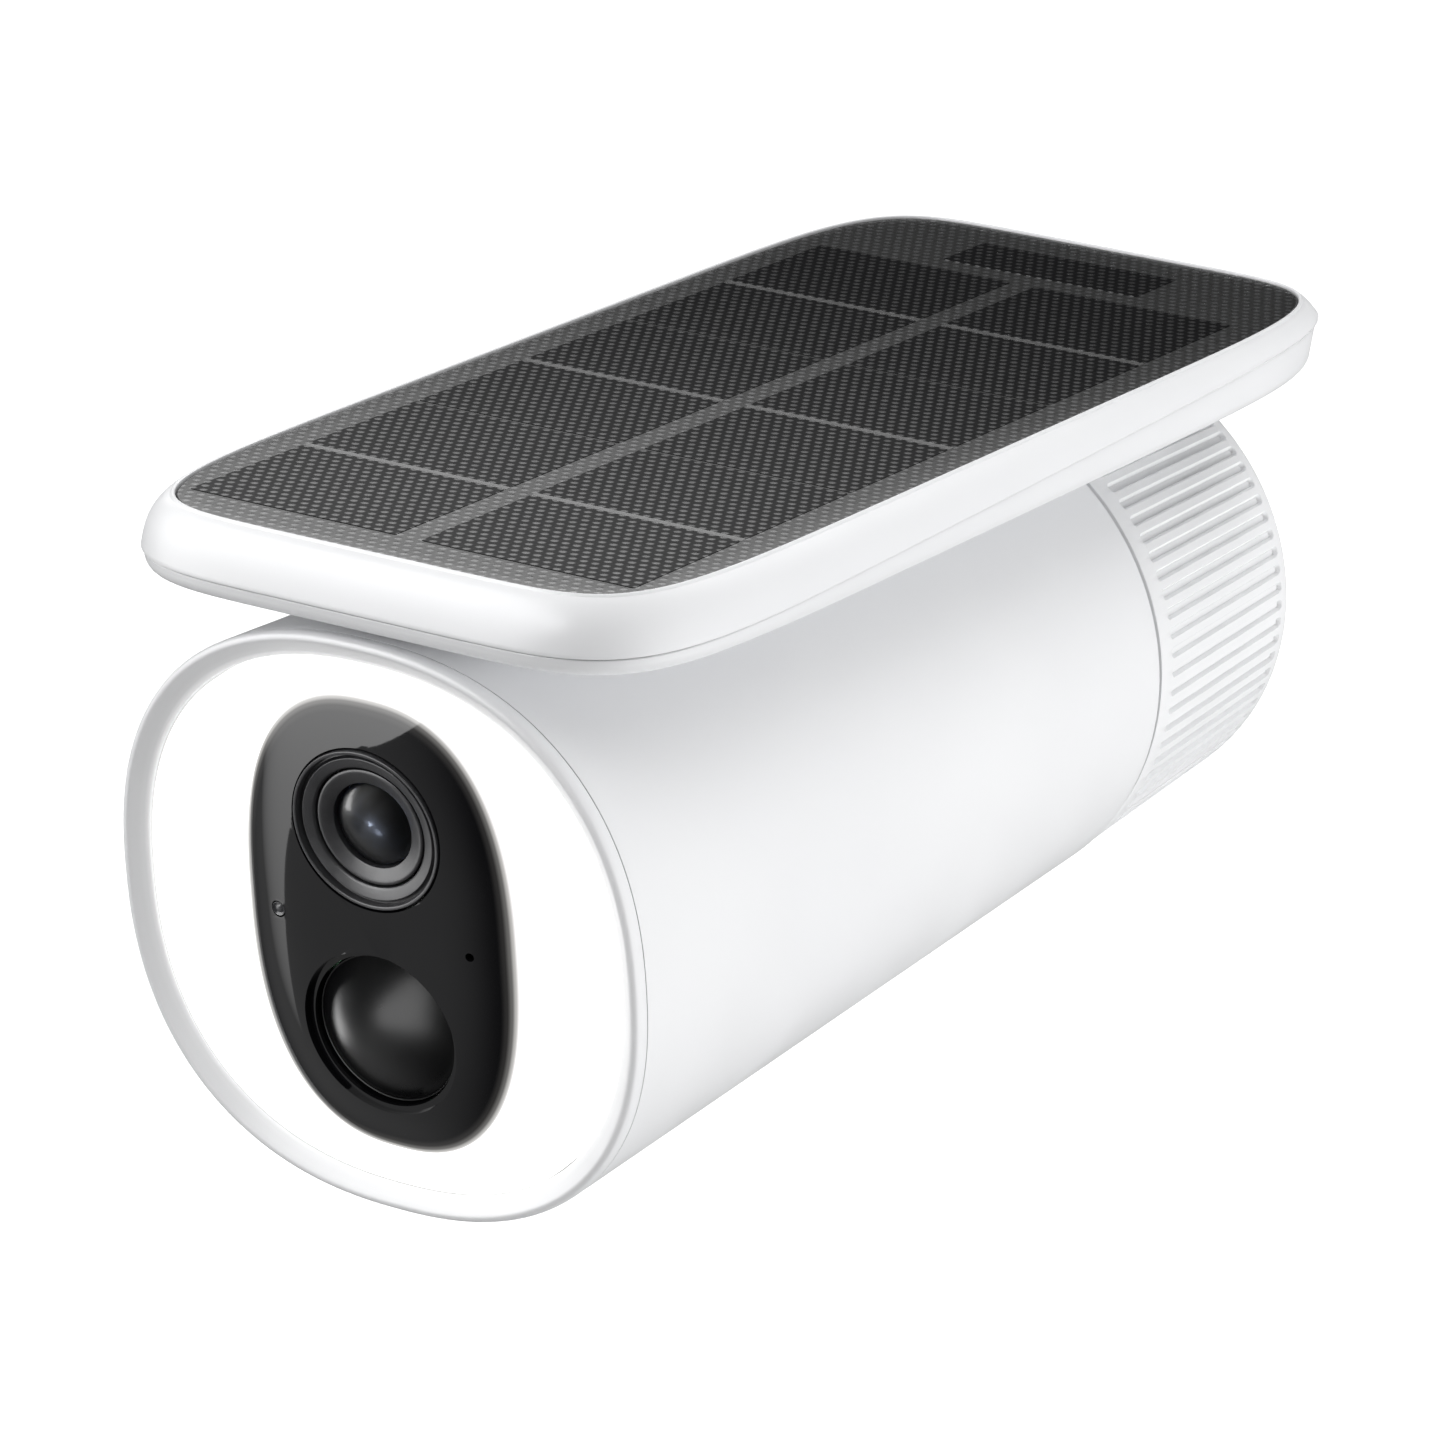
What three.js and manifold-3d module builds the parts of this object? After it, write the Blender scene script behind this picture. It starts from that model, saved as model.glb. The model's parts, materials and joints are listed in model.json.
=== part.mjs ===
// Solar-powered security camera.
// Millimetres, +Z up. The origin is the centre of the rear mounting face, the body axis is Y, and
// the camera looks towards -Y. The grip ring turns about the Y axis and carries the solar panel.

import * as THREE from 'three';
import { ParametricGeometry } from 'three/addons/geometries/ParametricGeometry.js';
import { mergeVertices } from 'three/addons/utils/BufferGeometryUtils.js';
import Module from 'manifold-3d';

const wasm = await Module();
wasm.setup();

// ---------------------------------------------------------------- driving dimensions

const GAP = 0.3;                  // clearance between neighbouring pieces
const WALL = 2.4;                 // wall of the body tube

// Body: a tapered tube, a rounded square at the pitched front rim and a circle at the rear seam.
const FACE_Y = -186.9;            // centre of the front rim
const FACE_PITCH = THREE.MathUtils.degToRad(8.2);
const RIM_HALF_WIDTH = 39.0;
const RIM_HALF_HEIGHT = 40.5;
const RIM_POWER = 2.32;           // 2 is an ellipse, larger is squarer
const SEAM_Y = -44.8;
const SEAM_RADIUS = 35.8;
const BODY_LENGTH = SEAM_Y - FACE_Y;
const BEZEL_LENGTH = 2.4;
const SPIGOT_END = 9.0;           // how far the bezel reaches into the body

// Face: glowing ring, black plate, lens above and motion sensor below.
const GLOW_INSET = 3.4;           // from the rim outline to the glowing ring
const GLOW_DEPTH = 1.9;
const PLATE_HALF_WIDTH = 20.5;
const PLATE_HALF_HEIGHT = 32.2;
const PLATE_POWER = 2.47;
const PLATE_DOME = 2.4;           // rise of the middle of the plate over its edge
const PLATE_THICK = 2.2;
const EYE_OFFSET = 14.5;          // lens above, motion sensor below the centre
const LENS_HOLE_RADIUS = 11.2;
const MOTION_HOLE_RADIUS = 11.5;
const MICROPHONE_X = 14.5;
const LIGHT_SENSOR_X = -14.5;
const LED_COUNT = 12;
const LED_BOARD_DEPTH = 7.6;
const POST_X = 23.5;
const POST_Z = 20.5;
const LAMP_GROUP_DROP = 1.2;      // the lamp board follows the body, not the pitched face

// Inside the body.
const SPEAKER_Y = -148;
const CELL_FRONT_Y = -126;
const CELL_LENGTH = 65;
const CELL_RADIUS = 9.2;
const CELL_SPACING = 9.8;

// Rear: hub, grip ring and end cap.
const HUB_RADIUS = 28;
const HUB_STEP_RADIUS = 26;
const HUB_STEP_Y = -12.3;
const HUB_BORE = 24;
const CAP_FRONT_Y = -4.8;
const CAP_FACE_Y = -1.2;
const CAP_RADIUS = 29.2;
const BOSS_RADIUS = 10;
const INSERT_RADIUS = 5.4;
const CAP_SCREW_REACH = 21.5;
const GRIP_FRONT_Y = SEAM_Y + 0.5;
const GRIP_REAR_Y = -1.5;
const GRIP_FRONT_RADIUS = 35.6;
const GRIP_REAR_RADIUS = 33.3;
const GRIP_WALL = 3.0;
const SLOT_COUNT = 80;
const SLOT_FRONT_Y = -40.8;
const SLOT_REAR_Y = -4.6;
const SLOT_WIDTH = 1.2;
const SLOT_DEPTH = 0.5;
const TURN_LIMIT = THREE.MathUtils.degToRad(15);
const STOP_WIDTH = 4;

// Port under the rubber flap of the end cap.
const PORT_Z = -17.2;
const FLAP_WIDTH = 21;
const FLAP_HEIGHT = 8.6;
const FLAP_THICK = 1.6;
const BUTTON_X = 6;

// Solar panel: centre of the cover sheet, its slope to the body axis, and its section.
const PANEL_Y = -94.3;
const PANEL_Z = 48.9;
const PANEL_SLOPE = THREE.MathUtils.degToRad(-1.17);
const SHEET_HALF_WIDTH = 38.4;
const SHEET_HALF_LENGTH = 94.5;
const SHEET_POWER = 7.5;
const SHEET_THICK = 1.0;
const PANEL_DEPTH = 9.6;
const TRAY_FLOOR = 2.0;
const CELL_ROWS = 6;
const CELL_PITCH = 26.1;
const CELL_WIDTH = 31.3;
const CELL_COLUMN_GAP = 3.8;
const CELL_FIRST_ROW = -86.8;     // front edge of the first row of cells
const NARROW_CELL_FRONT = 74.2;   // the single narrow cell behind the rows
const NARROW_CELL_REAR = 86.0;
const NARROW_CELL_HALF_WIDTH = 15.7;

// Foot between grip ring and panel.
const ARM_MIDDLE_Y = -23.5;
const ARM_SCREW_YS = [-33, -15];

const AROUND = 44;                // steps around the body's outlines
const PANEL_AROUND = 48;          // steps around the panel's outline

// ---------------------------------------------------------------- geometry helpers

// Signed volume of an indexed geometry: negative when its faces point inwards.
function signedVolume(geometry) {
  const position = geometry.attributes.position;
  const index = geometry.index;
  const [a, b, c] = [new THREE.Vector3(), new THREE.Vector3(), new THREE.Vector3()];
  let volume = 0;
  for (let i = 0; i < index.count; i += 3) {
    a.fromBufferAttribute(position, index.getX(i));
    b.fromBufferAttribute(position, index.getX(i + 1));
    c.fromBufferAttribute(position, index.getX(i + 2));
    volume += a.dot(b.cross(c)) / 6;
  }
  return volume;
}

// Merges shared vertices, drops the empty triangles at poles and turns the faces outwards.
function weld(geometry) {
  geometry.deleteAttribute('normal');
  geometry.deleteAttribute('uv');
  const merged = mergeVertices(geometry, 1e-4);
  const corners = Array.from(merged.index.array);
  const kept = [];
  for (let i = 0; i < corners.length; i += 3) {
    const [a, b, c] = corners.slice(i, i + 3);
    if (a !== b && b !== c && c !== a) kept.push(a, b, c);
  }
  merged.setIndex(kept);
  if (signedVolume(merged) < 0) merged.setIndex(kept.reverse());
  return merged;
}

function toSolid(geometry) {
  const merged = weld(geometry);
  return new wasm.Manifold(new wasm.Mesh({
    numProp: 3,
    vertProperties: Float32Array.from(merged.attributes.position.array),
    triVerts: Uint32Array.from(merged.index.array),
  }));
}

function toGeometry(solid) {
  const mesh = solid.getMesh();
  const geometry = new THREE.BufferGeometry();
  geometry.setAttribute('position', new THREE.BufferAttribute(mesh.vertProperties, 3));
  geometry.setIndex(new THREE.BufferAttribute(mesh.triVerts, 1));
  return geometry;
}

function joined(...geometries) {
  return toGeometry(geometries.map(toSolid).reduce((sum, solid) => sum.add(solid)));
}

function cutBy(base, ...tools) {
  const tool = tools.map(toSolid).reduce((sum, solid) => sum.add(solid));
  return toGeometry(toSolid(base).subtract(tool));
}

// Point of a superellipse outline, as [x, z].
function outline(halfX, halfZ, power, angle) {
  const cos = Math.cos(angle);
  const sin = Math.sin(angle);
  return [
    halfX * Math.sign(cos) * Math.abs(cos) ** (2 / power),
    halfZ * Math.sign(sin) * Math.abs(sin) ** (2 / power),
  ];
}

// Sweeps a profile once around. A closed profile returns to its start and makes a ring; an open
// one starts and ends on the axis.
function swept(profile, place, { closed = true, around = AROUND } = {}) {
  const stations = closed ? [...profile, profile[0]] : profile;
  const steps = stations.length - 1;
  const surface = (u, v, target) => {
    const angle = (2 * Math.PI * (Math.round(u * around) % around)) / around;
    place(angle, stations[Math.round(v * steps)], target);
  };
  return weld(new ParametricGeometry(surface, around, steps));
}

// Turned piece about the Y axis from [radius, y] points.
function turned(profile, around = 32) {
  const points = profile.map(([radius, y]) => new THREE.Vector2(radius, y));
  if (profile[0][0] > 0) points.push(points[0].clone());
  return weld(new THREE.LatheGeometry(points, around));
}

// Box given by its low and high corners.
function block(low, high) {
  const size = high.map((value, i) => value - low[i]);
  const centre = high.map((value, i) => (value + low[i]) / 2);
  return new THREE.BoxGeometry(...size).translate(...centre);
}

// Flat plate across the Y axis, from yFront to yBack, with an outline and holes given in x and z.
function plate(shape, yFront, yBack, curveSegments = 12) {
  const geometry = new THREE.ExtrudeGeometry(shape, {
    depth: yBack - yFront,
    bevelEnabled: false,
    curveSegments,
  });
  return geometry.rotateX(Math.PI / 2).translate(0, yBack, 0);
}

function outlineShape(halfX, halfZ, power, around = AROUND) {
  const points = [];
  for (let i = 0; i < around; i++) {
    points.push(new THREE.Vector2(...outline(halfX, halfZ, power, (2 * Math.PI * i) / around)));
  }
  return new THREE.Shape(points);
}

function rectangleShape(halfX, halfZ, corner) {
  const shape = new THREE.Shape();
  shape.moveTo(-halfX + corner, -halfZ);
  shape.lineTo(halfX - corner, -halfZ);
  shape.absarc(halfX - corner, -halfZ + corner, corner, -Math.PI / 2, 0);
  shape.lineTo(halfX, halfZ - corner);
  shape.absarc(halfX - corner, halfZ - corner, corner, 0, Math.PI / 2);
  shape.lineTo(-halfX + corner, halfZ);
  shape.absarc(-halfX + corner, halfZ - corner, corner, Math.PI / 2, Math.PI);
  shape.lineTo(-halfX, -halfZ + corner);
  shape.absarc(-halfX + corner, -halfZ + corner, corner, Math.PI, Math.PI * 1.5);
  return shape;
}

// Round bar along Y between two stations.
function rod(radius, yFront, yBack, around = 24) {
  return turned([[0, yFront], [radius, yFront], [radius, yBack], [0, yBack]], around);
}

// Pan-head screw along Y: the head starts at y = 0 and the shank runs towards +Y.
function screw(headRadius, headHeight, shankRadius, length) {
  return turned([
    [0, 0], [headRadius, 0], [headRadius, headHeight], [shankRadius, headHeight],
    [shankRadius, headHeight + length], [0, headHeight + length],
  ], 10);
}

// ---------------------------------------------------------------- materials

function finish(color, roughness, metalness = 0) {
  return () => new THREE.MeshStandardMaterial({ color, roughness, metalness });
}

const whitePlastic = finish(0xf1f1f2, 0.42);
const blackGloss = finish(0x0b0b0c, 0.08);
const blackSatin = finish(0x1a1a1c, 0.35);
const clearGlass = finish(0x1b2440, 0.03);
const cellDark = finish(0x17181b, 0.5);
const greenBoard = finish(0x1d5b36, 0.55);
const whiteBoard = finish(0xe8e8e4, 0.6);
const darkRubber = finish(0x2a2a2c, 0.8);
const whiteRubber = finish(0xe4e4e5, 0.7);
const steel = finish(0xb9bbbe, 0.3, 1);
const brass = finish(0xc9a24a, 0.32, 1);
const cellWrap = finish(0x2f6fb3, 0.45);
const greyPlastic = finish(0x55575a, 0.6);

function glowing() {
  return new THREE.MeshStandardMaterial({
    color: 0xffffff,
    roughness: 0.5,
    emissive: 0xfffaf0,
    emissiveIntensity: 1,
  });
}

function piece(name, geometry, material) {
  const mesh = new THREE.Mesh(geometry, material());
  mesh.name = name;
  return mesh;
}

// ---------------------------------------------------------------- body

// Point of the body surface at a distance behind the rim plane, moved inwards by an inset.
function bodyPoint(angle, [distance, inset], target) {
  const t = distance / BODY_LENGTH;
  const [frontX, frontZ] = outline(
    RIM_HALF_WIDTH - inset, RIM_HALF_HEIGHT - inset, RIM_POWER, angle);
  const [rearX, rearZ] = outline(SEAM_RADIUS - inset, SEAM_RADIUS - inset, 2, angle);
  target.set(
    THREE.MathUtils.lerp(frontX, rearX, t),
    THREE.MathUtils.lerp(FACE_Y - frontZ * Math.sin(FACE_PITCH), SEAM_Y, t),
    THREE.MathUtils.lerp(frontZ * Math.cos(FACE_PITCH), rearZ, t));
}

function bodyShell() {
  const length = BODY_LENGTH;
  const tube = swept([
    [BEZEL_LENGTH + GAP, 0], [length * 0.5, 0], [length - 0.4, 0],
    [length, 0.4], [length, WALL], [length * 0.5, WALL], [BEZEL_LENGTH + GAP, WALL],
  ], bodyPoint);
  const slots = [];
  for (let row = -2; row <= 2; row++) {
    const half = row % 2 === 0 ? 8 : 9;
    const y = SPEAKER_Y + row * 4;
    slots.push(block([-half, y - 0.8, -45], [half, y + 0.8, -25]));
  }
  return cutBy(tube, ...slots);
}

function frontBezel() {
  return swept([
    [0, 0.9], [0.3, 0.25], [1.0, 0], [BEZEL_LENGTH, 0],
    [BEZEL_LENGTH, WALL + GAP], [SPIGOT_END, WALL + GAP], [SPIGOT_END, 5.2], [4.3, 5.2],
    [4.3, GLOW_INSET], [GLOW_DEPTH, GLOW_INSET],
  ], bodyPoint);
}

function frontSeal() {
  const start = SPIGOT_END + GAP;
  return swept([
    [start, WALL + GAP], [start + 1.6, WALL + GAP], [start + 1.6, 4.6], [start, 4.6],
  ], bodyPoint);
}

// ---------------------------------------------------------------- face, in the pitched frame

function lightDiffuser() {
  const inset = GLOW_INSET + GAP + 0.15;
  const drop = 0.4;
  const shape = outlineShape(RIM_HALF_WIDTH - inset, RIM_HALF_HEIGHT - inset, RIM_POWER);
  const hole = outlineShape(PLATE_HALF_WIDTH, PLATE_HALF_HEIGHT, PLATE_POWER).getPoints();
  shape.holes.push(new THREE.Path(hole.map((point) => new THREE.Vector2(point.x, point.y + drop))));
  return plate(shape, GLOW_DEPTH, GLOW_DEPTH + 2).translate(0, 0, -drop);
}

// Depth of the plate's front at a fraction of the way to its edge: nearly flat, then rolled off.
function plateFront(scale) {
  return GLOW_DEPTH - PLATE_DOME * (1 - scale ** 6);
}

// Domed oval plate with its openings.
function facePlate() {
  const halfWidth = PLATE_HALF_WIDTH - GAP;
  const halfHeight = PLATE_HALF_HEIGHT - GAP;
  const domed = swept([
    ...[0, 0.6, 0.78, 0.9, 0.96, 1].map((scale) => [scale, plateFront(scale)]),
    [1, plateFront(1) + PLATE_THICK], [0, plateFront(0) + PLATE_THICK],
  ], (angle, [scale, depth], target) => {
    const [x, z] = outline(halfWidth, halfHeight, PLATE_POWER, angle);
    target.set(x * scale, depth, z * scale);
  }, { closed: false });
  const step = plateFront(0) + 1.2;
  return cutBy(
    domed,
    rod(LENS_HOLE_RADIUS, -3, 6, 32).translate(0, 0, EYE_OFFSET),
    rod(MOTION_HOLE_RADIUS, -3, step, 32).translate(0, 0, -EYE_OFFSET),
    rod(MOTION_HOLE_RADIUS - 0.7, -3, 6, 32).translate(0, 0, -EYE_OFFSET),
    rod(0.6, -3, 6, 10).translate(MICROPHONE_X, 0, 0),
    rod(1.2, -3, 6, 14).translate(LIGHT_SENSOR_X, 0, 0));
}

function lensBezel() {
  const radius = LENS_HOLE_RADIUS - GAP;
  return turned([
    [8.25, 2.4], [8.25, 0.65], [8.45, 0.45], [9.85, 0.05], [10.05, 0.6], [10.3, 0.6],
    [10.5, -0.5], [radius, -0.5], [radius, 5], [8.8, 5],
  ], 32);
}

function lensBarrel() {
  return turned([
    [5.85, 1.25], [7.9, 0.65], [7.9, 10], [7.0, 10], [7.0, 16],
    [5.0, 16], [5.0, 3.6], [5.85, 3.6],
  ], 24);
}

function lensGlass() {
  return turned([
    [0, 0.3], [2.4, 0.45], [4.3, 0.85], [5.55, 1.3], [5.55, 3.3], [0, 3.3],
  ], 24);
}

function imageSensorBoard() {
  return joined(block([-11, 17.2, -11], [11, 18.4, 11]), block([-4, 16.3, -3.5], [4, 17.5, 3.5]));
}

// Thin dome over the motion sensor.
function motionLens() {
  const rise = 3.6;
  const radius = 10.5;
  const thick = 1.0;
  const sphere = (radius * radius + rise * rise) / (2 * rise);
  const inner = sphere - thick;
  const apex = -1.4;
  const centre = apex + sphere;
  const reach = Math.asin(radius / sphere);
  const profile = [];
  for (let i = 0; i <= 5; i++) {
    const a = (reach * i) / 5;
    profile.push([sphere * Math.sin(a), centre - sphere * Math.cos(a)]);
  }
  profile.push([radius, apex + rise + 1.4], [radius - 1.2, apex + rise + 1.4]);
  for (let i = 3; i >= 0; i--) {
    const a = (reach * 0.95 * i) / 3;
    profile.push([inner * Math.sin(a), centre - inner * Math.cos(a)]);
  }
  return turned(profile, 28);
}

function motionSensor() {
  return turned([
    [0, 8.2], [4.2, 8.2], [4.2, 11.8], [4.8, 11.8], [4.8, 12.4], [0, 12.4],
  ], 20);
}

function motionSensorBoard() {
  return block([-14, 12.7, -11], [14, 13.9, 11]);
}

function microphone() {
  return block([-2, 4.6, -1.5], [2, 5.8, 1.5]).translate(MICROPHONE_X, 0, 0);
}

function lightSensorWindow() {
  return rod(1.2 - GAP, 0, 3.2, 14).translate(LIGHT_SENSOR_X, 0, 0);
}

function fourPosts(make) {
  return [[1, 1], [-1, 1], [-1, -1], [1, -1]].map(([x, z], i) => make(x * POST_X, z * POST_Z, i));
}

// Ring-shaped board with the white lamps on its front.
function ledRingBoard() {
  const shape = outlineShape(RIM_HALF_WIDTH - 6, RIM_HALF_HEIGHT - 6, RIM_POWER);
  shape.holes.push(outlineShape(PLATE_HALF_WIDTH - 1.5, PLATE_HALF_HEIGHT - 2, PLATE_POWER));
  const lamps = [];
  for (let i = 0; i < LED_COUNT; i++) {
    const [x, z] = outline(27.4, 33, 2.4, (2 * Math.PI * (i + 0.5)) / LED_COUNT);
    lamps.push(block([x - 1.4, LED_BOARD_DEPTH - 0.8, z - 1.4],
      [x + 1.4, LED_BOARD_DEPTH + 0.3, z + 1.4]));
  }
  const board = joined(plate(shape, LED_BOARD_DEPTH, LED_BOARD_DEPTH + 1.2), ...lamps);
  return cutBy(board, ...fourPosts((x, z) => rod(1.4, 6, 10, 8).translate(x, 0, z)));
}

// Carrier behind the face, with four posts that the lamp board is screwed to.
function frontChassis() {
  const shape = outlineShape(RIM_HALF_WIDTH - 8, RIM_HALF_HEIGHT - 9, RIM_POWER);
  const sheet = plate(shape, 19.4, 21.2);
  const posts = fourPosts((x, z) => rod(2.6, LED_BOARD_DEPTH + 1.5, 20, 10).translate(x, 0, z));
  return cutBy(
    joined(sheet.translate(0, 0, LAMP_GROUP_DROP - 2.9), ...posts),
    ...fourPosts((x, z) => rod(1.4, 5, 17, 8).translate(x, 0, z)),
    block([-9, 15, -5], [9, 25, 5]));
}

function faceScrew(x, z) {
  return screw(2.3, 1.2, 1.1, 8).translate(x, LED_BOARD_DEPTH - 1.5, z);
}

function faceGroup() {
  const face = new THREE.Group();
  face.position.set(0, FACE_Y, 0);
  face.rotation.x = FACE_PITCH;
  const lens = new THREE.Group();
  lens.position.z = EYE_OFFSET;
  lens.add(
    piece('lens_bezel', lensBezel(), blackSatin),
    piece('lens_barrel', lensBarrel(), blackSatin),
    piece('lens_glass', lensGlass(), clearGlass),
    piece('image_sensor_board', imageSensorBoard(), greenBoard));
  const motion = new THREE.Group();
  motion.position.z = -EYE_OFFSET;
  motion.add(
    piece('motion_lens', motionLens(), blackGloss),
    piece('motion_sensor', motionSensor(), steel),
    piece('motion_sensor_board', motionSensorBoard(), greenBoard));
  const lamps = new THREE.Group();
  lamps.position.z = -LAMP_GROUP_DROP;
  lamps.add(
    piece('led_ring_board', ledRingBoard(), whiteBoard),
    piece('front_chassis', frontChassis(), greyPlastic));
  fourPosts((x, z, i) => lamps.add(piece(`face_screw_${i + 1}`, faceScrew(x, z), steel)));
  face.add(
    piece('light_diffuser', lightDiffuser(), glowing),
    piece('face_plate', facePlate(), blackGloss),
    piece('microphone', microphone(), steel),
    piece('light_sensor_window', lightSensorWindow(), greyPlastic),
    lens, motion, lamps);
  return face;
}

// ---------------------------------------------------------------- inside the body

function quarter(make) {
  return [[1, 1], [-1, 1], [-1, -1], [1, -1]]
    .map(([x, z], i) => make(x * CELL_SPACING, z * CELL_SPACING, i));
}

function batteryCell(x, z) {
  const end = CELL_FRONT_Y + CELL_LENGTH;
  return turned([
    [0, CELL_FRONT_Y - 1], [3, CELL_FRONT_Y - 1], [3, CELL_FRONT_Y],
    [CELL_RADIUS, CELL_FRONT_Y], [CELL_RADIUS, end], [0, end],
  ], 18).translate(x, 0, z);
}

function batteryCradle() {
  const half = CELL_SPACING + CELL_RADIUS + 1.4;
  const core = block([-half, CELL_FRONT_Y + 3, -half], [half, CELL_FRONT_Y + 58, half]);
  const bores = quarter((x, z) =>
    rod(CELL_RADIUS + GAP, CELL_FRONT_Y - 5, CELL_FRONT_Y + 70, 18).translate(x, 0, z));
  return cutBy(core, ...bores);
}

function mainBoard() {
  return joined(
    block([-26, -162, 2], [26, -131, 3.6]),
    block([-8, -155, 3.3], [8, -141, 5.4]),
    block([12, -152, 3.3], [21, -143, 4.8]),
    block([-21, -150, 3.3], [-13, -140, 4.6]));
}

function antenna() {
  return block([-15, -158, 30.2], [15, -150, 31]);
}

// Round driver behind the slots in the underside.
function speaker() {
  const driver = turned([
    [0, 0], [5, 1.2], [11, 0.2], [13, 0.2], [13, 3.2], [8, 3.2], [8, 6], [0, 6],
  ], 24);
  return driver.rotateX(Math.PI / 2).translate(0, SPEAKER_Y, -32.8);
}

function insideGroup() {
  const inside = new THREE.Group();
  quarter((x, z, i) => inside.add(piece(`battery_cell_${i + 1}`, batteryCell(x, z), cellWrap)));
  inside.add(
    piece('battery_cradle', batteryCradle(), greyPlastic),
    piece('main_board', mainBoard(), greenBoard),
    piece('antenna', antenna(), greenBoard),
    piece('speaker', speaker(), blackSatin));
  return inside;
}

// ---------------------------------------------------------------- rear end

// Lug between two radii on the underside, turned about the Y axis by an angle.
function stopLug(inner, outer, angle) {
  return block([-STOP_WIDTH / 2, -43.5, -outer], [STOP_WIDTH / 2, -39, -inner]).rotateY(angle);
}

function fourCapScrews(make) {
  return [45, 135, 225, 315].map((degrees, i) => {
    const angle = THREE.MathUtils.degToRad(degrees);
    return make(CAP_SCREW_REACH * Math.cos(angle), CAP_SCREW_REACH * Math.sin(angle), i);
  });
}

// Bulkhead that closes the body, with the hub that the grip ring turns on, the end-cap screw
// posts inside it and the two stops that limit the turn.
function rearBulkhead() {
  const plugRadius = SEAM_RADIUS - WALL - GAP;
  const hub = turned([
    [0, -52], [plugRadius, -52], [plugRadius, SEAM_Y + GAP], [HUB_RADIUS, SEAM_Y + GAP],
    [HUB_RADIUS, HUB_STEP_Y], [HUB_STEP_RADIUS, HUB_STEP_Y],
    [HUB_STEP_RADIUS, CAP_FRONT_Y - GAP], [HUB_BORE, CAP_FRONT_Y - GAP], [HUB_BORE, -48], [0, -48],
  ], 40);
  const posts = fourCapScrews((x, z) =>
    rod(2.9, -49, CAP_FRONT_Y - GAP, 10).translate(x, 0, z));
  const stop = TURN_LIMIT + (STOP_WIDTH / 29.2) + 0.02;
  return cutBy(
    joined(hub, ...posts, stopLug(27, 31.4, stop), stopLug(27, 31.4, -stop)),
    ...fourCapScrews((x, z) => rod(1.4, -13, -4, 8).translate(x, 0, z)));
}

const GRIP_SLOPE = (GRIP_REAR_RADIUS - GRIP_FRONT_RADIUS) / (GRIP_REAR_Y - GRIP_FRONT_Y);

function gripRadius(y) {
  return GRIP_FRONT_RADIUS + GRIP_SLOPE * (y - GRIP_FRONT_Y);
}

// Tapered grip ring with a web that runs on the hub and shallow slots all around.
function gripRing() {
  const outer = gripRadius;
  const inner = (y) => outer(y) - GRIP_WALL;
  const flat = Math.cos(Math.PI / SLOT_COUNT);
  const ring = turned([
    [outer(GRIP_FRONT_Y) - 0.5, GRIP_FRONT_Y], [outer(GRIP_FRONT_Y + 0.5), GRIP_FRONT_Y + 0.5],
    [outer(SLOT_REAR_Y + 1), SLOT_REAR_Y + 1], [outer(GRIP_REAR_Y) - 0.5, GRIP_REAR_Y - 1.0],
    [outer(GRIP_REAR_Y) - 1.5, GRIP_REAR_Y],
    [inner(GRIP_REAR_Y), GRIP_REAR_Y], [inner(-8), -8], [HUB_STEP_RADIUS + 0.4, -8],
    [HUB_STEP_RADIUS + 0.4, -12], [inner(-12), -12], [inner(GRIP_FRONT_Y), GRIP_FRONT_Y],
  ], SLOT_COUNT);
  const cutters = [];
  const middle = (SLOT_FRONT_Y + SLOT_REAR_Y) / 2;
  for (let i = 0; i < SLOT_COUNT; i++) {
    const cutter = new THREE.BoxGeometry(SLOT_WIDTH, SLOT_REAR_Y - SLOT_FRONT_Y, 2);
    cutter.rotateX(Math.atan(GRIP_SLOPE));
    cutter.translate(0, middle, outer(middle) * flat - SLOT_DEPTH + 1);
    cutter.rotateY((2 * Math.PI * (i + 0.5)) / SLOT_COUNT);
    cutters.push(cutter);
  }
  const screwHoles = ARM_SCREW_YS.map((y) =>
    rod(1.7, -4, 6, 12).rotateX(Math.PI / 2).translate(0, y, 32));
  return cutBy(joined(ring, stopLug(29.2, 33.2, 0)), ...cutters, ...screwHoles);
}

function frictionBand() {
  return turned([
    [HUB_STEP_RADIUS + 0.4, -7.7], [28.8, -7.7], [28.8, CAP_FRONT_Y - GAP],
    [HUB_STEP_RADIUS + 0.4, CAP_FRONT_Y - GAP],
  ], 36);
}

function rearCap() {
  const disc = turned([
    [INSERT_RADIUS + GAP, -13], [BOSS_RADIUS, -13], [BOSS_RADIUS, CAP_FRONT_Y],
    [CAP_RADIUS, CAP_FRONT_Y], [CAP_RADIUS, CAP_FACE_Y - 0.8], [CAP_RADIUS - 0.8, CAP_FACE_Y],
    [BOSS_RADIUS + 0.6, CAP_FACE_Y], [BOSS_RADIUS, 0], [INSERT_RADIUS + GAP, 0],
  ], 40);
  const pocket = plate(rectangleShape(FLAP_WIDTH / 2 + GAP, FLAP_HEIGHT / 2 + GAP, 2.4),
    CAP_FACE_Y - FLAP_THICK - GAP, 3, 4).translate(0, 0, PORT_Z);
  const opening = plate(rectangleShape(8.6, 2.9, 1.5), -9, 3, 4).translate(0, 0, PORT_Z);
  const bores = fourCapScrews((x, z) => joined(
    rod(1.4, -9, 3, 8), rod(2.8, CAP_FACE_Y - 1.9, 3, 12)).translate(x, 0, z));
  return cutBy(disc, pocket, opening, ...bores);
}

function capScrew(x, z) {
  return screw(2.4, 1.3, 1.1, 7.5).rotateX(Math.PI).translate(x, CAP_FACE_Y - 0.2, z);
}

function mountInsert() {
  return turned([
    [3.2, -11.5], [INSERT_RADIUS, -11.5], [INSERT_RADIUS, -0.2], [3.6, -0.2], [3.2, -0.8],
  ], 24);
}

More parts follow.
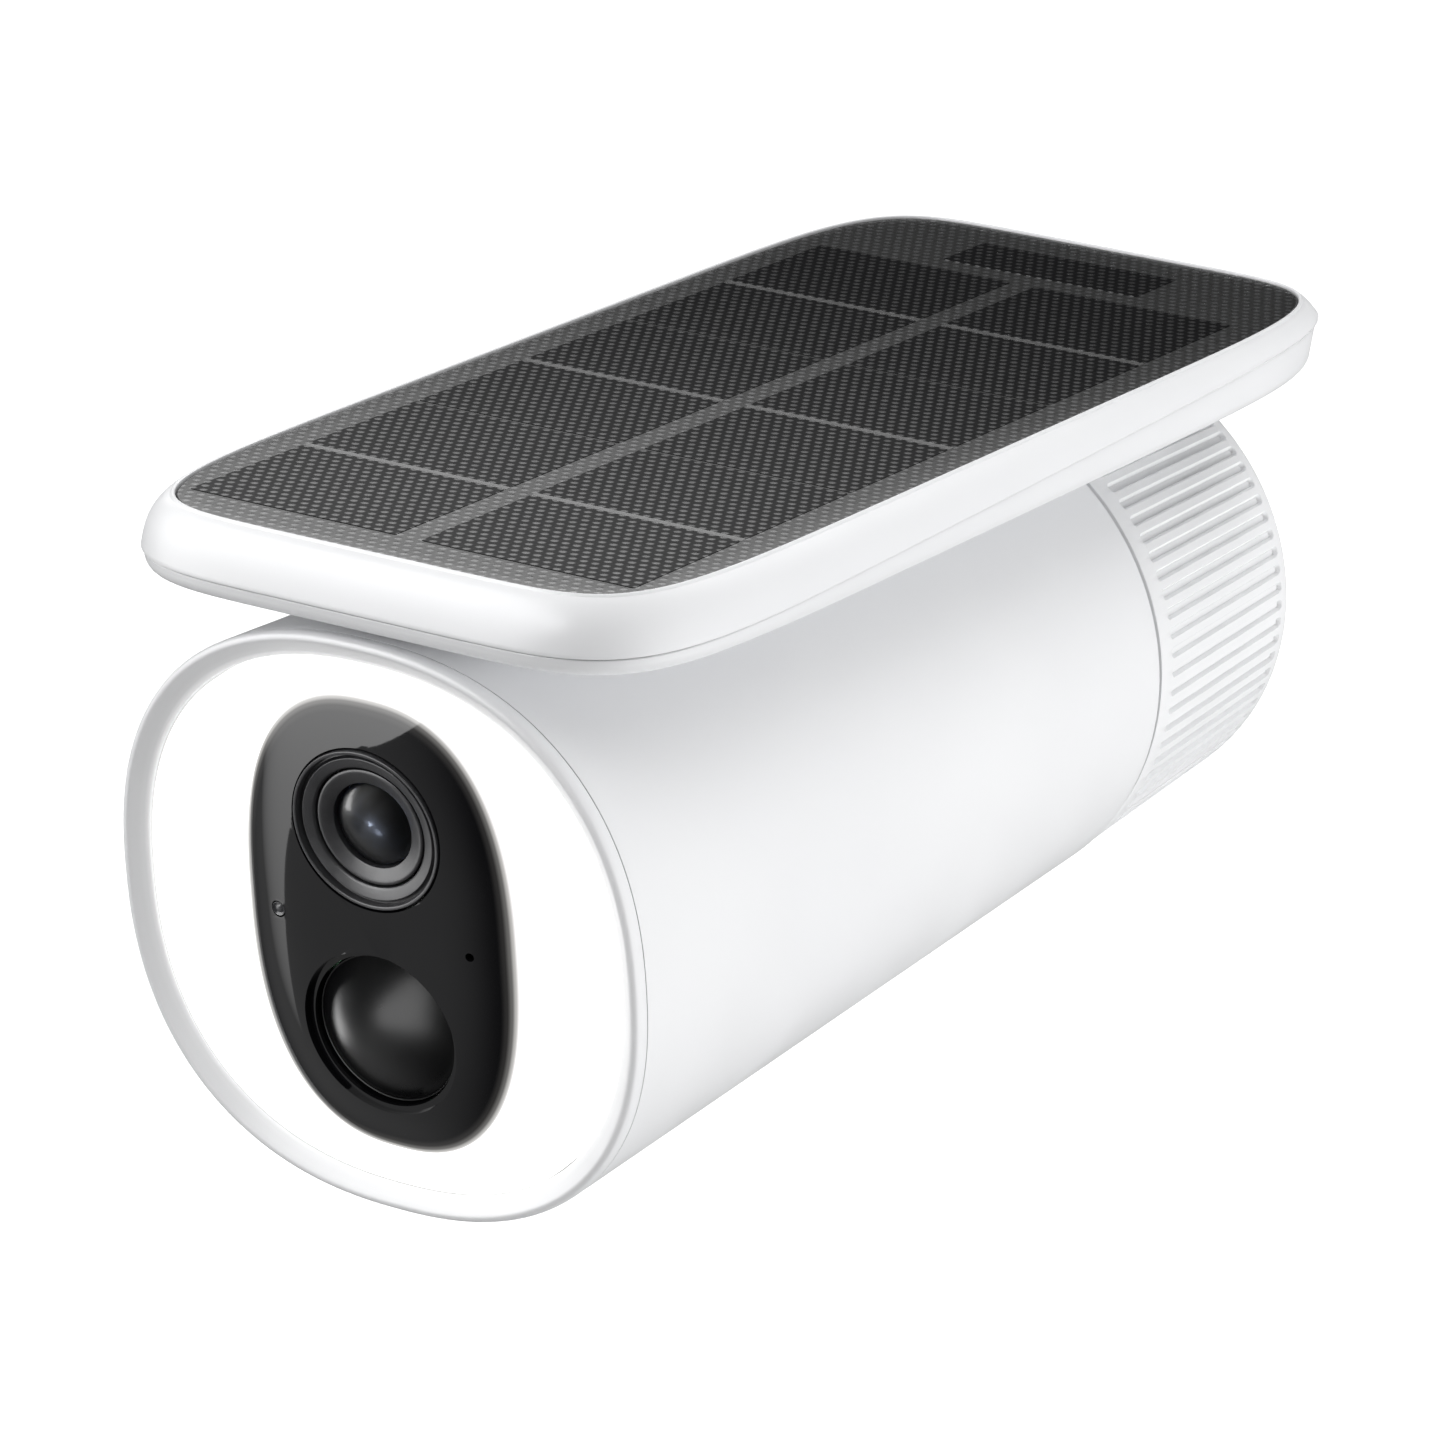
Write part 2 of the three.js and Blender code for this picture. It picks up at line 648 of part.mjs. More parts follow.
// Rubber flap over the port; its lower edge is the living hinge.
function portFlap() {
  return joined(
    plate(rectangleShape(FLAP_WIDTH / 2, FLAP_HEIGHT / 2, 2.1),
      CAP_FACE_Y - FLAP_THICK, CAP_FACE_Y, 4).translate(0, 0, PORT_Z),
    block([-5.6, CAP_FACE_Y - FLAP_THICK - 0.9, PORT_Z - 1.2],
      [1.6, CAP_FACE_Y - FLAP_THICK + 0.3, PORT_Z + 1.2]));
}

function portBoard() {
  return block([-10, -13, PORT_Z - 4], [10, -11.8, PORT_Z + 4]);
}

function chargingSocket() {
  const outer = plate(rectangleShape(4.5, 1.6, 1.55), -11.5, -4.2, 3);
  const mouth = plate(rectangleShape(4.15, 1.25, 1.2), -10.5, 0, 3);
  return cutBy(outer, mouth).translate(-2, 0, PORT_Z);
}

function powerSwitch() {
  return block([BUTTON_X - 2.2, -11.5, PORT_Z - 2.2], [BUTTON_X + 2.2, -10, PORT_Z + 2.2]);
}

function powerButton() {
  return turned([[0, -9], [1.9, -9], [1.9, -4.4], [1.5, -4], [0, -4]], 16)
    .translate(BUTTON_X, 0, PORT_Z);
}

function rearGroup() {
  const rear = new THREE.Group();
  rear.add(
    piece('rear_bulkhead', rearBulkhead(), greyPlastic),
    piece('rear_cap', rearCap(), whitePlastic),
    piece('mount_insert', mountInsert(), brass),
    piece('port_flap', portFlap(), whiteRubber),
    piece('port_board', portBoard(), greenBoard),
    piece('charging_socket', chargingSocket(), steel),
    piece('power_switch', powerSwitch(), blackSatin),
    piece('power_button', powerButton(), greyPlastic),
    piece('friction_band', frictionBand(), darkRubber),
    piece('grip_ring', gripRing(), whitePlastic));
  fourCapScrews((x, z, i) => rear.add(piece(`cap_screw_${i + 1}`, capScrew(x, z), steel)));
  return rear;
}

// ---------------------------------------------------------------- solar panel, in its own frame

// Depth of the parting line between frame and tray: deep in front, shallow behind.
function partingDepth(y) {
  return 4.6 - 0.026 * y;
}

// How far the frame stands out beyond the cover sheet at a depth.
function flare(depth) {
  return 4.6 - 3.7 * Math.exp(-depth / 2.6);
}

// Outward direction of the cover sheet's outline.
function outlineNormal(angle) {
  const power = 2 - 2 / SHEET_POWER;
  const cos = Math.cos(angle);
  const sin = Math.sin(angle);
  const x = (Math.sign(cos) * Math.abs(cos) ** power) / SHEET_HALF_WIDTH;
  const y = (Math.sign(sin) * Math.abs(sin) ** power) / SHEET_HALF_LENGTH;
  const length = Math.hypot(x, y);
  return [x / length, y / length];
}

// Sweeps a section around the panel. Each station gives [offset beyond the sheet, depth below
// it] for the place along the panel; an offset of null is the middle of the panel.
function aroundPanel(stations, closed) {
  return swept(stations, (angle, station, target) => {
    const [x, y] = outline(SHEET_HALF_WIDTH, SHEET_HALF_LENGTH, SHEET_POWER, angle);
    const [nx, ny] = outlineNormal(angle);
    const [offset, depth] = station(y);
    if (offset === null) target.set(0, 0, -depth);
    else target.set(x + nx * offset, y + ny * offset, -depth);
  }, { closed, around: PANEL_AROUND });
}

function fixed(...stations) {
  return stations.map((station) => () => station);
}

// White trim frame: a bead around the sheet and an outward flare down to the parting line.
function panelFrame() {
  const flareAt = (part) => (y) => {
    const depth = partingDepth(y) * part;
    return [flare(depth), depth];
  };
  return aroundPanel([
    ...fixed([0.2, -0.2], [0.55, -0.3]),
    flareAt(0), flareAt(0.16), flareAt(0.4), flareAt(0.7), flareAt(1),
    (y) => [0.2, partingDepth(y)],
  ], true);
}

// White tray under the frame: a drafted wall, a rounded bottom edge and an inner wall that
// carries the sheet.
function panelTray() {
  const top = (y) => partingDepth(y) + GAP;
  const lip = (y) => flare(partingDepth(y)) - 0.45;
  const edgeRadius = (y) => Math.min(2.6, 0.85 * (PANEL_DEPTH - top(y)));
  const edge = (degrees) => (y) => {
    const radius = edgeRadius(y);
    const draft = 0.12 * (PANEL_DEPTH - radius - top(y));
    const angle = THREE.MathUtils.degToRad(degrees);
    return [
      lip(y) - draft - radius * (1 - Math.cos(angle)),
      PANEL_DEPTH - radius * (1 - Math.sin(angle)),
    ];
  };
  const tray = aroundPanel([
    ...fixed([null, PANEL_DEPTH]),
    edge(90), edge(60), edge(30), edge(0),
    (y) => [lip(y), top(y)], (y) => [-0.1, top(y)],
    ...fixed([-0.1, 2.0], [-2.4, 2.0], [-2.4, PANEL_DEPTH - TRAY_FLOOR],
      [null, PANEL_DEPTH - TRAY_FLOOR]),
  ], false);
  return cutBy(tray, ...trayScrews((x, y) => verticalRod(1.4, -14, -5, 10).translate(x, y, 0)));
}

function solarSheet() {
  return aroundPanel(fixed([null, 0], [-0.5, 0], [-0.1, 0.3], [-0.1, SHEET_THICK],
    [null, SHEET_THICK]), false);
}

function panelSeal() {
  return aroundPanel(fixed([-0.3, SHEET_THICK + GAP], [-2.3, SHEET_THICK + GAP],
    [-2.3, 1.7], [-0.3, 1.7]), true);
}

// Board with the solar cells standing out between shallow channels.
function cellBoard() {
  const top = -1.35;
  const board = aroundPanel(fixed([null, -top], [-2.8, -top], [-2.8, 3], [null, 3]), false);
  const channel = (x0, y0, x1, y1) => block([x0, y0, top - 0.15], [x1, y1, 0]);
  const edge = CELL_COLUMN_GAP / 2 + CELL_WIDTH;
  const rear = CELL_FIRST_ROW + CELL_ROWS * CELL_PITCH;
  const channels = [
    channel(-CELL_COLUMN_GAP / 2, -100, CELL_COLUMN_GAP / 2, rear + 0.1),
    channel(-50, -100, -edge, 100),
    channel(edge, -100, 50, 100),
    channel(-50, -100, 50, CELL_FIRST_ROW),
    channel(-50, rear, 50, NARROW_CELL_FRONT),
    channel(-50, NARROW_CELL_REAR, 50, 100),
    channel(-50, rear, -NARROW_CELL_HALF_WIDTH, 100),
    channel(NARROW_CELL_HALF_WIDTH, rear, 50, 100),
  ];
  for (let row = 1; row < CELL_ROWS; row++) {
    const y = CELL_FIRST_ROW + row * CELL_PITCH;
    channels.push(channel(-50, y - 0.4, 50, y + 0.4));
  }
  return cutBy(board, ...channels);
}

function chargeBoard() {
  return joined(
    block([-18, 20, -6.4], [18, 48, -4.9]),
    block([-6, 28, -5.2], [6, 40, -3.6]));
}

function verticalRod(radius, low, high, around) {
  return rod(radius, low, high, around).rotateX(Math.PI / 2);
}

// The four screws between tray and arm, in the panel's frame.
function trayScrews(make) {
  return [[1, 1], [-1, 1], [-1, -1], [1, -1]]
    .map(([x, y], i) => make(x * 8.5, ARM_MIDDLE_Y - PANEL_Y + y * 10, i));
}

function trayScrew(x, y) {
  return screw(2.3, 1.3, 1.1, 5).rotateX(-Math.PI / 2)
    .translate(x, y, -(PANEL_DEPTH - TRAY_FLOOR - GAP - 1.3));
}

// Foot between the grip ring and the tray: flat on top and hollowed to the ring below.
function panelArm(panelMatrix) {
  const middle = ARM_MIDDLE_Y - PANEL_Y;
  const top = -(PANEL_DEPTH + GAP);
  const foot = plate(rectangleShape(12, 15, 5), -12, 0, 4).rotateX(Math.PI / 2)
    .translate(0, middle, top);
  const cone = turned([
    [0, -60], [gripRadius(-60) + GAP, -60], [gripRadius(10) + GAP, 10], [0, 10],
  ], SLOT_COUNT).applyMatrix4(panelMatrix.clone().invert());
  const ringScrews = ARM_SCREW_YS.map((y) => verticalRod(1.4, 25, 36.8, 10).translate(0, y, 0)
    .applyMatrix4(panelMatrix.clone().invert()));
  return cutBy(foot, cone, ...ringScrews,
    ...trayScrews((x, y) => verticalRod(1.4, -12.9, 0, 10).translate(x, y, 0)));
}

function armScrew(y) {
  const inside = gripRadius(y) - GRIP_WALL;
  return screw(2.3, 1.2, 1.1, 5).rotateX(Math.PI / 2).translate(0, y, inside - 1.6);
}

function panelGroup() {
  const panel = new THREE.Group();
  panel.position.set(0, PANEL_Y, PANEL_Z);
  panel.rotation.x = PANEL_SLOPE;
  panel.updateMatrix();
  panel.add(
    piece('panel_frame', panelFrame(), whitePlastic),
    piece('panel_tray', panelTray(), whitePlastic),
    piece('solar_sheet', solarSheet(), cellDark),
    piece('panel_seal', panelSeal(), darkRubber),
    piece('cell_board', cellBoard(), cellDark),
    piece('charge_board', chargeBoard(), greenBoard),
    piece('panel_arm', panelArm(panel.matrix), whitePlastic));
  trayScrews((x, y, i) => panel.add(piece(`tray_screw_${i + 1}`, trayScrew(x, y), steel)));
  return panel;
}

// ---------------------------------------------------------------- the whole camera

const camera = new THREE.Group();
camera.add(
  piece('body_shell', bodyShell(), whitePlastic),
  piece('front_bezel', frontBezel(), whitePlastic),
  piece('front_seal', frontSeal(), darkRubber),
  faceGroup(),
  insideGroup(),
  rearGroup(),
  panelGroup());
ARM_SCREW_YS.forEach((y, i) => camera.add(piece(`arm_screw_${i + 1}`, armScrew(y), steel)));

export default camera;
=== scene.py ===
# Looks of the solar-powered security camera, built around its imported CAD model.
# The body axis is Y, the object looks towards -Y, and the origin is the middle of the rear
# mounting face. Lengths are millimetres until a mesh is made. The stage, the lights and the
# scene's camera are in metres.

import json
from math import asin, copysign, cos, exp, hypot, pi, radians, sin

import bmesh
import bpy
from mathutils import Matrix, Vector


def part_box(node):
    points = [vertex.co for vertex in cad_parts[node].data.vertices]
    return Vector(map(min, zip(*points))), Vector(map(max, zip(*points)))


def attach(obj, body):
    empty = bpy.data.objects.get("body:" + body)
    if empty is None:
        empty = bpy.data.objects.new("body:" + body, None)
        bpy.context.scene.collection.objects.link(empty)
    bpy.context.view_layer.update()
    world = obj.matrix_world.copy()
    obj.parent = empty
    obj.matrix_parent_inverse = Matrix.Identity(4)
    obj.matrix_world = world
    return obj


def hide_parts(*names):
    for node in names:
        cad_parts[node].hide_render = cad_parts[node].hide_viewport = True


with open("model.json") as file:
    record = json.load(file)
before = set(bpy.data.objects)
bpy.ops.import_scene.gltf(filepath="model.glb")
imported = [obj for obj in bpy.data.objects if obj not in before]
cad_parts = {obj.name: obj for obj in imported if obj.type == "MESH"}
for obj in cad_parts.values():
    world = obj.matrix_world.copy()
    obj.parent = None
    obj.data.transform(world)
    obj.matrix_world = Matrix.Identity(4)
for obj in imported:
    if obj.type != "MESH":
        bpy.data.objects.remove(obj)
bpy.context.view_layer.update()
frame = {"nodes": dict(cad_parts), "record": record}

MM = 0.001

# ---- driving dimensions

# Body: a tapered tube, a rounded square at the pitched rim and a circle at the rear seam.
FACE_Y = -186.9
FACE_PITCH = radians(8.2)
RIM_HALF_WIDTH = 39.0
RIM_HALF_HEIGHT = 40.5
RIM_POWER = 2.32
SEAM_Y = -44.8
SEAM_RADIUS = 35.8
BODY_LENGTH = SEAM_Y - FACE_Y
WALL = 2.4
BEZEL_LENGTH = 2.52
BEZEL_WALL = WALL + 0.3
BEZEL_SLOPE = 3.4
JOINT_LINE = 0.1
SEAM_SETBACK = 0.6
SPEAKER_Y = -148
SPEAKER_PITCH = 4

# Face, in its own frame: depth runs inwards from the rim plane.
GLOW_DEPTH = 1.9
GLOW_THICK = 2.0
GLOW_HALF_WIDTH = 35.3
GLOW_OUTLINE_HEIGHT = 36.8
GLOW_DROP = 0.4
PLATE_HALF_WIDTH = 20.3
PLATE_HALF_HEIGHT = 32.0
PLATE_POWER = 2.47
PLATE_DOME = 2.4
PLATE_BACK = 4.0
EYE_OFFSET = 14.5
MICROPHONE_X = 14.5
MICROPHONE_RADIUS = 0.6
WINDOW_RADIUS = 0.95
LENS_OPENING = 11.2
LENS_RING_RADIUS = 10.9
LENS_CUP_RADIUS = 7.95
GLASS_RADIUS = 5.65
STOP_RADIUS = 4.9
ELEMENT_RADIUS = 1.1
MOTION_RECESS = 11.5
MOTION_OPENING = 10.58
MOTION_RADIUS = 10.5
MOTION_RISE = 3.6
MOTION_THICK = 1.0
MOTION_APEX = -1.4

# Rear: grip ring, end cap, threaded insert, screws and port.
GRIP_FRONT_Y = -44.3
GRIP_REAR_Y = -1.5
GRIP_FRONT_RADIUS = 35.6
GRIP_REAR_RADIUS = 33.3
SLOT_COUNT = 80
SLOT_FRONT_Y = -40.8
SLOT_REAR_Y = -4.6
SLOT_WIDTH = 1.3
SLOT_DEPTH = 0.6
SLOT_WALL = 0.13
GRIP_WALL = 3
BEARING_RADIUS = 26.4
CAP_RADIUS = 29.2
CAP_FACE_Y = -1.2
CAP_BACK_Y = -4.8
BOSS_RADIUS = 10
BOSS_BORE = 5.6
INSERT_RADIUS = 5.4
INSERT_BACK_Y = -11.5
THREAD_PITCH = 1.27
THREAD_DEPTH = 0.5
THREAD_TURNS = 8
SCREW_RADIUS = 2.4
SCREW_SHANK = 1.1
PORT_Z = -17.2
SOCKET_X = -2

# Solar panel: centre and slope of the cover sheet, its outline, its cells and its foot.
PANEL_Y = -94.3
PANEL_Z = 48.9
PANEL_SLOPE = radians(-1.17)
SHEET_HALF_WIDTH = 38.4
SHEET_HALF_LENGTH = 94.5
SHEET_POWER = 7.5
PANEL_DEPTH = 9.6
TRAY_WALL = 2.0
TRAY_EDGE = 2.6
DOT_PITCH = 1.66
DOT_ROW = 1.63
CELL_PITCH = 26.1
CELL_WIDTH = 31.3
CELL_COLUMN_GAP = 3.8
CELL_FIRST_ROW = -86.8
NARROW_CELL = (-15.7, 74.2, 15.7, 86.0)
RIBBON_HALF = 0.6
ARM_Y = -23.5
ARM_HALF_WIDTH = 12
ARM_HALF_LENGTH = 15

# Steps around the body, the panel and the plate.
AROUND = 160
PANEL_AROUND = 216
PLATE_AROUND = 192

# Brightness of the white tent around the object, below it, level with it and above it.
TENT_BELOW = 0.30
TENT_LEVEL = 0.10
TENT_ABOVE = 1.90


def shift(x, y, z):
    return Matrix.Translation((x, y, z))


def turn(angle, axis="X"):
    return Matrix.Rotation(angle, 4, axis)


FACE = shift(0, FACE_Y, 0) @ turn(FACE_PITCH)
PANEL = shift(0, PANEL_Y, PANEL_Z) @ turn(PANEL_SLOPE)
LENS_EYE = FACE @ shift(0, 0, EYE_OFFSET)
MOTION_EYE = FACE @ shift(0, 0, -EYE_OFFSET)
# Lays a slab flat, so that its Y axis points up.
LAID_FLAT = turn(pi / 2)

# ---- mesh helpers


def outline(half_x, half_z, power, angle):
    """Point of a superellipse."""
    x, z = cos(angle), sin(angle)
    return (copysign(half_x * abs(x) ** (2 / power), x),
            copysign(half_z * abs(z) ** (2 / power), z))


def spaced(first, last, count):
    """Numbers in even steps, both ends included."""
    return [first + (last - first) * i / (count - 1) for i in range(count)]


def rounded(profile, radius, closed=True):
    """The profile with its corners rounded. A third value of a point is its own radius."""
    steps = 3
    count = len(profile)
    made = []
    for i, point in enumerate(profile):
        here = Vector(point[:2])
        reach = point[2] if len(point) > 2 else radius
        if not reach or (not closed and i in (0, count - 1)):
            made.append(tuple(here))
            continue
        before = Vector(profile[i - 1][:2]) - here
        after = Vector(profile[(i + 1) % count][:2]) - here
        start = here + before.normalized() * min(reach, 0.45 * before.length)
        end = here + after.normalized() * min(reach, 0.45 * after.length)
        for k in range(steps + 1):
            u = k / steps
            made.append(tuple((1 - u) ** 2 * start + 2 * u * (1 - u) * here + u * u * end))
    return made


def configure(thing, **settings):
    """Sets properties of something of Blender's and gives it back."""
    for key, value in settings.items():
        setattr(thing, key, value)
    return thing


def add_object(name, data):
    """A new object in the scene."""
    obj = bpy.data.objects.new(name, data)
    bpy.context.scene.collection.objects.link(obj)
    return obj


def mesh_object(name, bm):
    """A new object with the bmesh's mesh."""
    mesh = bpy.data.meshes.new(name)
    bm.to_mesh(mesh)
    bm.free()
    return add_object(name, mesh)


def skin(bm, rows, closed=False):
    """Faces between neighbouring rings of vertices, and from the last to the first if closed."""
    for low, high in zip(rows, rows[1:] + (rows[:1] if closed else [])):
        for i in range(len(low)):
            k = (i + 1) % len(low)
            bm.faces.new((low[i], low[k], high[k], high[i]))


def finish_mesh(bm, name, place, sharp=32):
    """Object from a bmesh in millimetres, moved to its place and smoothed up to an angle."""
    bmesh.ops.remove_doubles(bm, verts=bm.verts, dist=1e-4)
    bmesh.ops.dissolve_degenerate(bm, edges=bm.edges, dist=1e-5)
    bmesh.ops.recalc_face_normals(bm, faces=bm.faces)
    bm.transform(Matrix.Scale(MM, 4) @ place)
    return smooth(mesh_object(name, bm), sharp)


def smooth(obj, sharp=32):
    """Smooth shading, except across edges sharper than an angle in degrees."""
    mesh = obj.data
    mesh.polygons.foreach_set("use_smooth", [True] * len(mesh.polygons))
    mesh.set_sharp_from_angle(angle=radians(sharp))
    return obj


def sweep(name, stations, point_at, around, place=Matrix(), closed=True, sharp=32, capped=False):
    """Carries a section once around. point_at(angle, station) gives each point."""
    bm = bmesh.new()
    angles = [2 * pi * i / around for i in range(around)]
    rows = [[bm.verts.new(point_at(angle, s)) for angle in angles] for s in stations]
    skin(bm, rows, closed)
    if capped:
        bm.faces.new(rows[0])
        bm.faces.new(rows[-1])
    return finish_mesh(bm, name, place, sharp)


def turned(name, profile, place=Matrix(), around=96, radius=0.15, sharp=32):
    """Piece turned about the Y axis from [radius, y] points, with its corners rounded."""
    closed = profile[0][0] > 0

    def point_at(angle, station):
        return station[0] * cos(angle), station[1], station[0] * sin(angle)

    return sweep(name, rounded(profile, radius, closed), point_at, around, place, closed, sharp)


def box_outline(half_x, half_z, corner, steps=6):
    """Rounded rectangle as a list of (x, z)."""
    points = []
    for quarter, (sx, sz) in enumerate([(1, 1), (-1, 1), (-1, -1), (1, -1)]):
        for k in range(steps + 1):
            angle = pi / 2 * (quarter + k / steps)
            points.append((sx * (half_x - corner) + corner * cos(angle),
                           sz * (half_z - corner) + corner * sin(angle)))
    return points


def slab(name, points, y_front, y_back, edge=0.2, place=Matrix()):
    """Plate across the Y axis with a convex outline around (0, 0) and rounded front and back edges.
    The loop just inside each rounded edge keeps the shading of the flat face flat."""
    steps = 4
    bm = bmesh.new()
    rows = []
    for y, sign in ((y_front, 1), (y_back, -1)):
        arc = [pi / 2 * k / steps for k in range(steps + 1)]
        ring = [(edge * (1 - sin(a)), y + sign * edge * (1 - cos(a))) for a in arc]
        flat = [(edge * 1.6 + 0.02, y)]
        rows += flat + ring if sign > 0 else ring[::-1] + flat
    loops = [[bm.verts.new(inset_point(p, inset, y)) for p in points] for inset, y in rows]
    skin(bm, loops)
    bm.faces.new(loops[0])
    bm.faces.new(loops[-1][::-1])
    return finish_mesh(bm, name, place)


def inset_point(point, inset, y):
    """The outline point drawn towards the middle by about the inset."""
    reach = hypot(*point)
    share = (reach - inset) / reach
    return point[0] * share, y, point[1] * share


def apply_modifiers(obj, sharp):
    """Turns the object's modifiers into mesh."""
    bpy.context.view_layer.update()
    evaluated = obj.evaluated_get(bpy.context.evaluated_depsgraph_get())
    mesh = bpy.data.meshes.new_from_object(evaluated)
    obj.modifiers.clear()
    obj.data = mesh
    smooth(obj, sharp)


def cut(obj, *cutters, sharp=32):
    """Cuts each cutter out of the object and deletes the cutters."""
    for cutter in cutters:
        modifier = obj.modifiers.new("cut", "BOOLEAN")
        configure(modifier, operation="DIFFERENCE", solver="EXACT", object=cutter)
    apply_modifiers(obj, sharp)
    for cutter in cutters:
        bpy.data.objects.remove(cutter)


def bevel(obj, width, segments=2, sharp=32):
    """Rounds the sharp edges by a width in millimetres."""
    configure(obj.modifiers.new("bevel", "BEVEL"), width=width * MM, segments=segments,
              limit_method="ANGLE", angle_limit=radians(35), use_clamp_overlap=True)
    apply_modifiers(obj, sharp)


def middle_of(node):
    """Middle of a CAD node's box, in millimetres."""
    low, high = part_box(node)
    return (low + high) / 2 / MM


# ---- materials


class Nodes:
    """A node tree, with short ways to add nodes to it."""

    def __init__(self, tree):
        self.tree = tree

    def fill(self, node, inputs):
        """Gives a node's inputs their values: numbers, colours or outputs of other nodes."""
        for key, value in inputs.items():
            socket = node.inputs[key]
            if isinstance(value, bpy.types.NodeSocket):
                self.tree.links.new(value, socket)
            elif socket.type == "RGBA":
                socket.default_value = (*value, 1)
            else:
                socket.default_value = value

    def node(self, kind, inputs=None, **settings):
        """A new shader node, with its settings and the values of its inputs."""
        made = configure(self.tree.nodes.new(kind), **settings)
        self.fill(made, inputs or {})
        return made

    def between(self, value, low, high, to_low, to_high, interpolation="SMOOTHSTEP"):
        """The value mapped from one range to another, smoothly unless told otherwise."""
        inputs = {"Value": value, "From Min": low, "From Max": high,
                  "To Min": to_low, "To Max": to_high}
        return self.node("ShaderNodeMapRange", inputs, interpolation_type=interpolation).outputs[0]

    def maths(self, operation, *values):
        """Result of a math node on one or two numbers or outputs."""
        return self.node("ShaderNodeMath", dict(enumerate(values)), operation=operation).outputs[0]


class Shader(Nodes):
    """A Principled material, with short ways to add the nodes that shade it."""

    def __init__(self, name, colour, roughness, **sockets):
        self.name = name
        self.material = bpy.data.materials.new(name)
        self.material.use_nodes = True
        super().__init__(self.material.node_tree)
        self.colour, self.roughness = colour, roughness
        self.feed(base_color=colour, roughness=roughness, **sockets)
        self.place = self.node("ShaderNodeTexCoord").outputs["Object"]
        self.normal = None

    def feed(self, **sockets):
        """Gives the Principled node's inputs their values. base_color stands for Base Color."""
        labels = {key: key.replace("_", " ").title().replace("Ior", "IOR") for key in sockets}
        principled = self.tree.nodes["Principled BSDF"]
        self.fill(principled, {labels[key]: value for key, value in sockets.items()})
        return self

    def noise(self, scale, detail, rough=0.5):
        """Noise with that many waves per metre."""
        inputs = {"Vector": self.place, "Scale": scale, "Detail": detail, "Roughness": rough}
        return self.node("ShaderNodeTexNoise", inputs).outputs["Fac"]

    def blend(self, factor, first, second):
        """Colour between two colours."""
        mix = self.node("ShaderNodeMix", data_type="RGBA")
        self.fill(mix, {"Factor": factor, 6: first, 7: second})
        return mix.outputs[2]

    def mottle(self, scale, other):
        """Slow drift of the base colour towards another."""
        factor = self.between(self.noise(scale, 2), 0.35, 0.7, 0, 1)
        return self.feed(base_color=self.blend(factor, self.colour, other))

    def scuff(self, scale, spread):
        """Roughness that wanders around its value."""
        low, high = self.roughness - spread, self.roughness + spread
        return self.feed(roughness=self.between(self.noise(scale, 5, 0.6), 0.3, 0.7, low, high))

    def painted_edge_glow(self, reach, stops):
        """Painted glow that spills over the edge: emission colours at shares of the reach, in
        millimetres.
        """
        edge = self.node("ShaderNodeAttribute", attribute_name="edge_distance").outputs["Fac"]
        ramp = self.node("ShaderNodeValToRGB", {"Fac": self.maths("DIVIDE", edge, reach)})
        ramp.color_ramp.interpolation = "EASE"
        while len(ramp.color_ramp.elements) < len(stops):
            ramp.color_ramp.elements.new(0.5)
        for element, (place, colour) in zip(ramp.color_ramp.elements, stops):
            configure(element, position=place, color=(*colour, 1))
        return self.feed(emission_color=ramp.outputs["Color"], emission_strength=1.0)

    def painted_crevice_shade(self, reach, darkest):
        """Painted shade: darkens the colour inside gaps and grooves about as wide as the reach, in
        millimetres.
        """
        colour = self.tree.nodes["Principled BSDF"].inputs["Base Color"].links[0].from_socket
        shade = self.node("ShaderNodeAmbientOcclusion", {"Distance": reach * MM}, samples=6)
        openness = self.between(shade.outputs["AO"], 0.25, 0.9, darkest, 1.0)
        shaded = self.node("ShaderNodeVectorMath", operation="SCALE")
        self.fill(shaded, {0: colour, "Scale": openness})
        return self.feed(base_color=shaded.outputs[0])

    def grain(self, scale, depth, detail=2.0):
        """Fine relief, its depth in millimetres."""
        return self.relief(self.noise(scale, detail), depth)

    def relief(self, value, depth):
        """Relief that follows a value, its depth in millimetres, on top of any relief before it."""
        bump = self.node("ShaderNodeBump", {"Height": value, "Strength": 1.0, "Distance": depth * MM})
        if self.normal:
            self.fill(bump, {"Normal": self.normal})
        self.normal = bump.outputs["Normal"]
        return self.feed(normal=self.normal)


def grey(value):
    return (value, value, value)


def plain(name, colour, drift, roughness, mottle, scuff=None, grain=None, painted_crevice_shade=None, **sockets):
    """Colour that drifts and, where asked for, painted shade in gaps, wandering roughness and a fine
    grain.
    """
    shader = Shader(name, colour, roughness, **sockets).mottle(mottle, drift)
    if painted_crevice_shade:
        shader.painted_crevice_shade(*painted_crevice_shade)
    if scuff:
        shader.scuff(*scuff)
    if grain:
        shader.grain(*grain)
    return shader


def satin_white(name, darkest=0.3):
    """Satin moulded plastic with a very fine spark-eroded grain and painted shade in its gaps and
    grooves.
    """
    return plain(name, (0.87, 0.875, 0.885), (0.85, 0.855, 0.868), 0.36, 18, (60, 0.05),
                 (5200, 0.006), (1.0, darkest), specular_ior_level=0.45)


def glow_painted_plastic():
    """The bezel, with a painted glow on its inner slope that stands in for the light of the ring
    inside it.
    """
    stops = [(0.0, grey(0.3)), (0.08, grey(0.12)), (0.2, grey(0.03)), (0.4, grey(0)),
             (1.0, grey(0))]
    return satin_white("glow_painted_plastic").painted_edge_glow(BEZEL_SLOPE, stops)


def black_plate():
    """Black acrylic with a painted glow near its edge that stands in for the light of the ring around
    it.
    """
    stops = [(0.0, (0.98, 0.97, 0.96)), (0.08, (0.50, 0.49, 0.475)), (0.19, (0.13, 0.127, 0.122)),
             (0.34, (0.022, 0.021, 0.02)), (0.55, grey(0))]
    return plain("black_plate", (0.004, 0.004, 0.005), (0.006, 0.006, 0.007), 0.04, 40,
                 (90, 0.015), specular_ior_level=0.4).painted_edge_glow(4.0, stops)


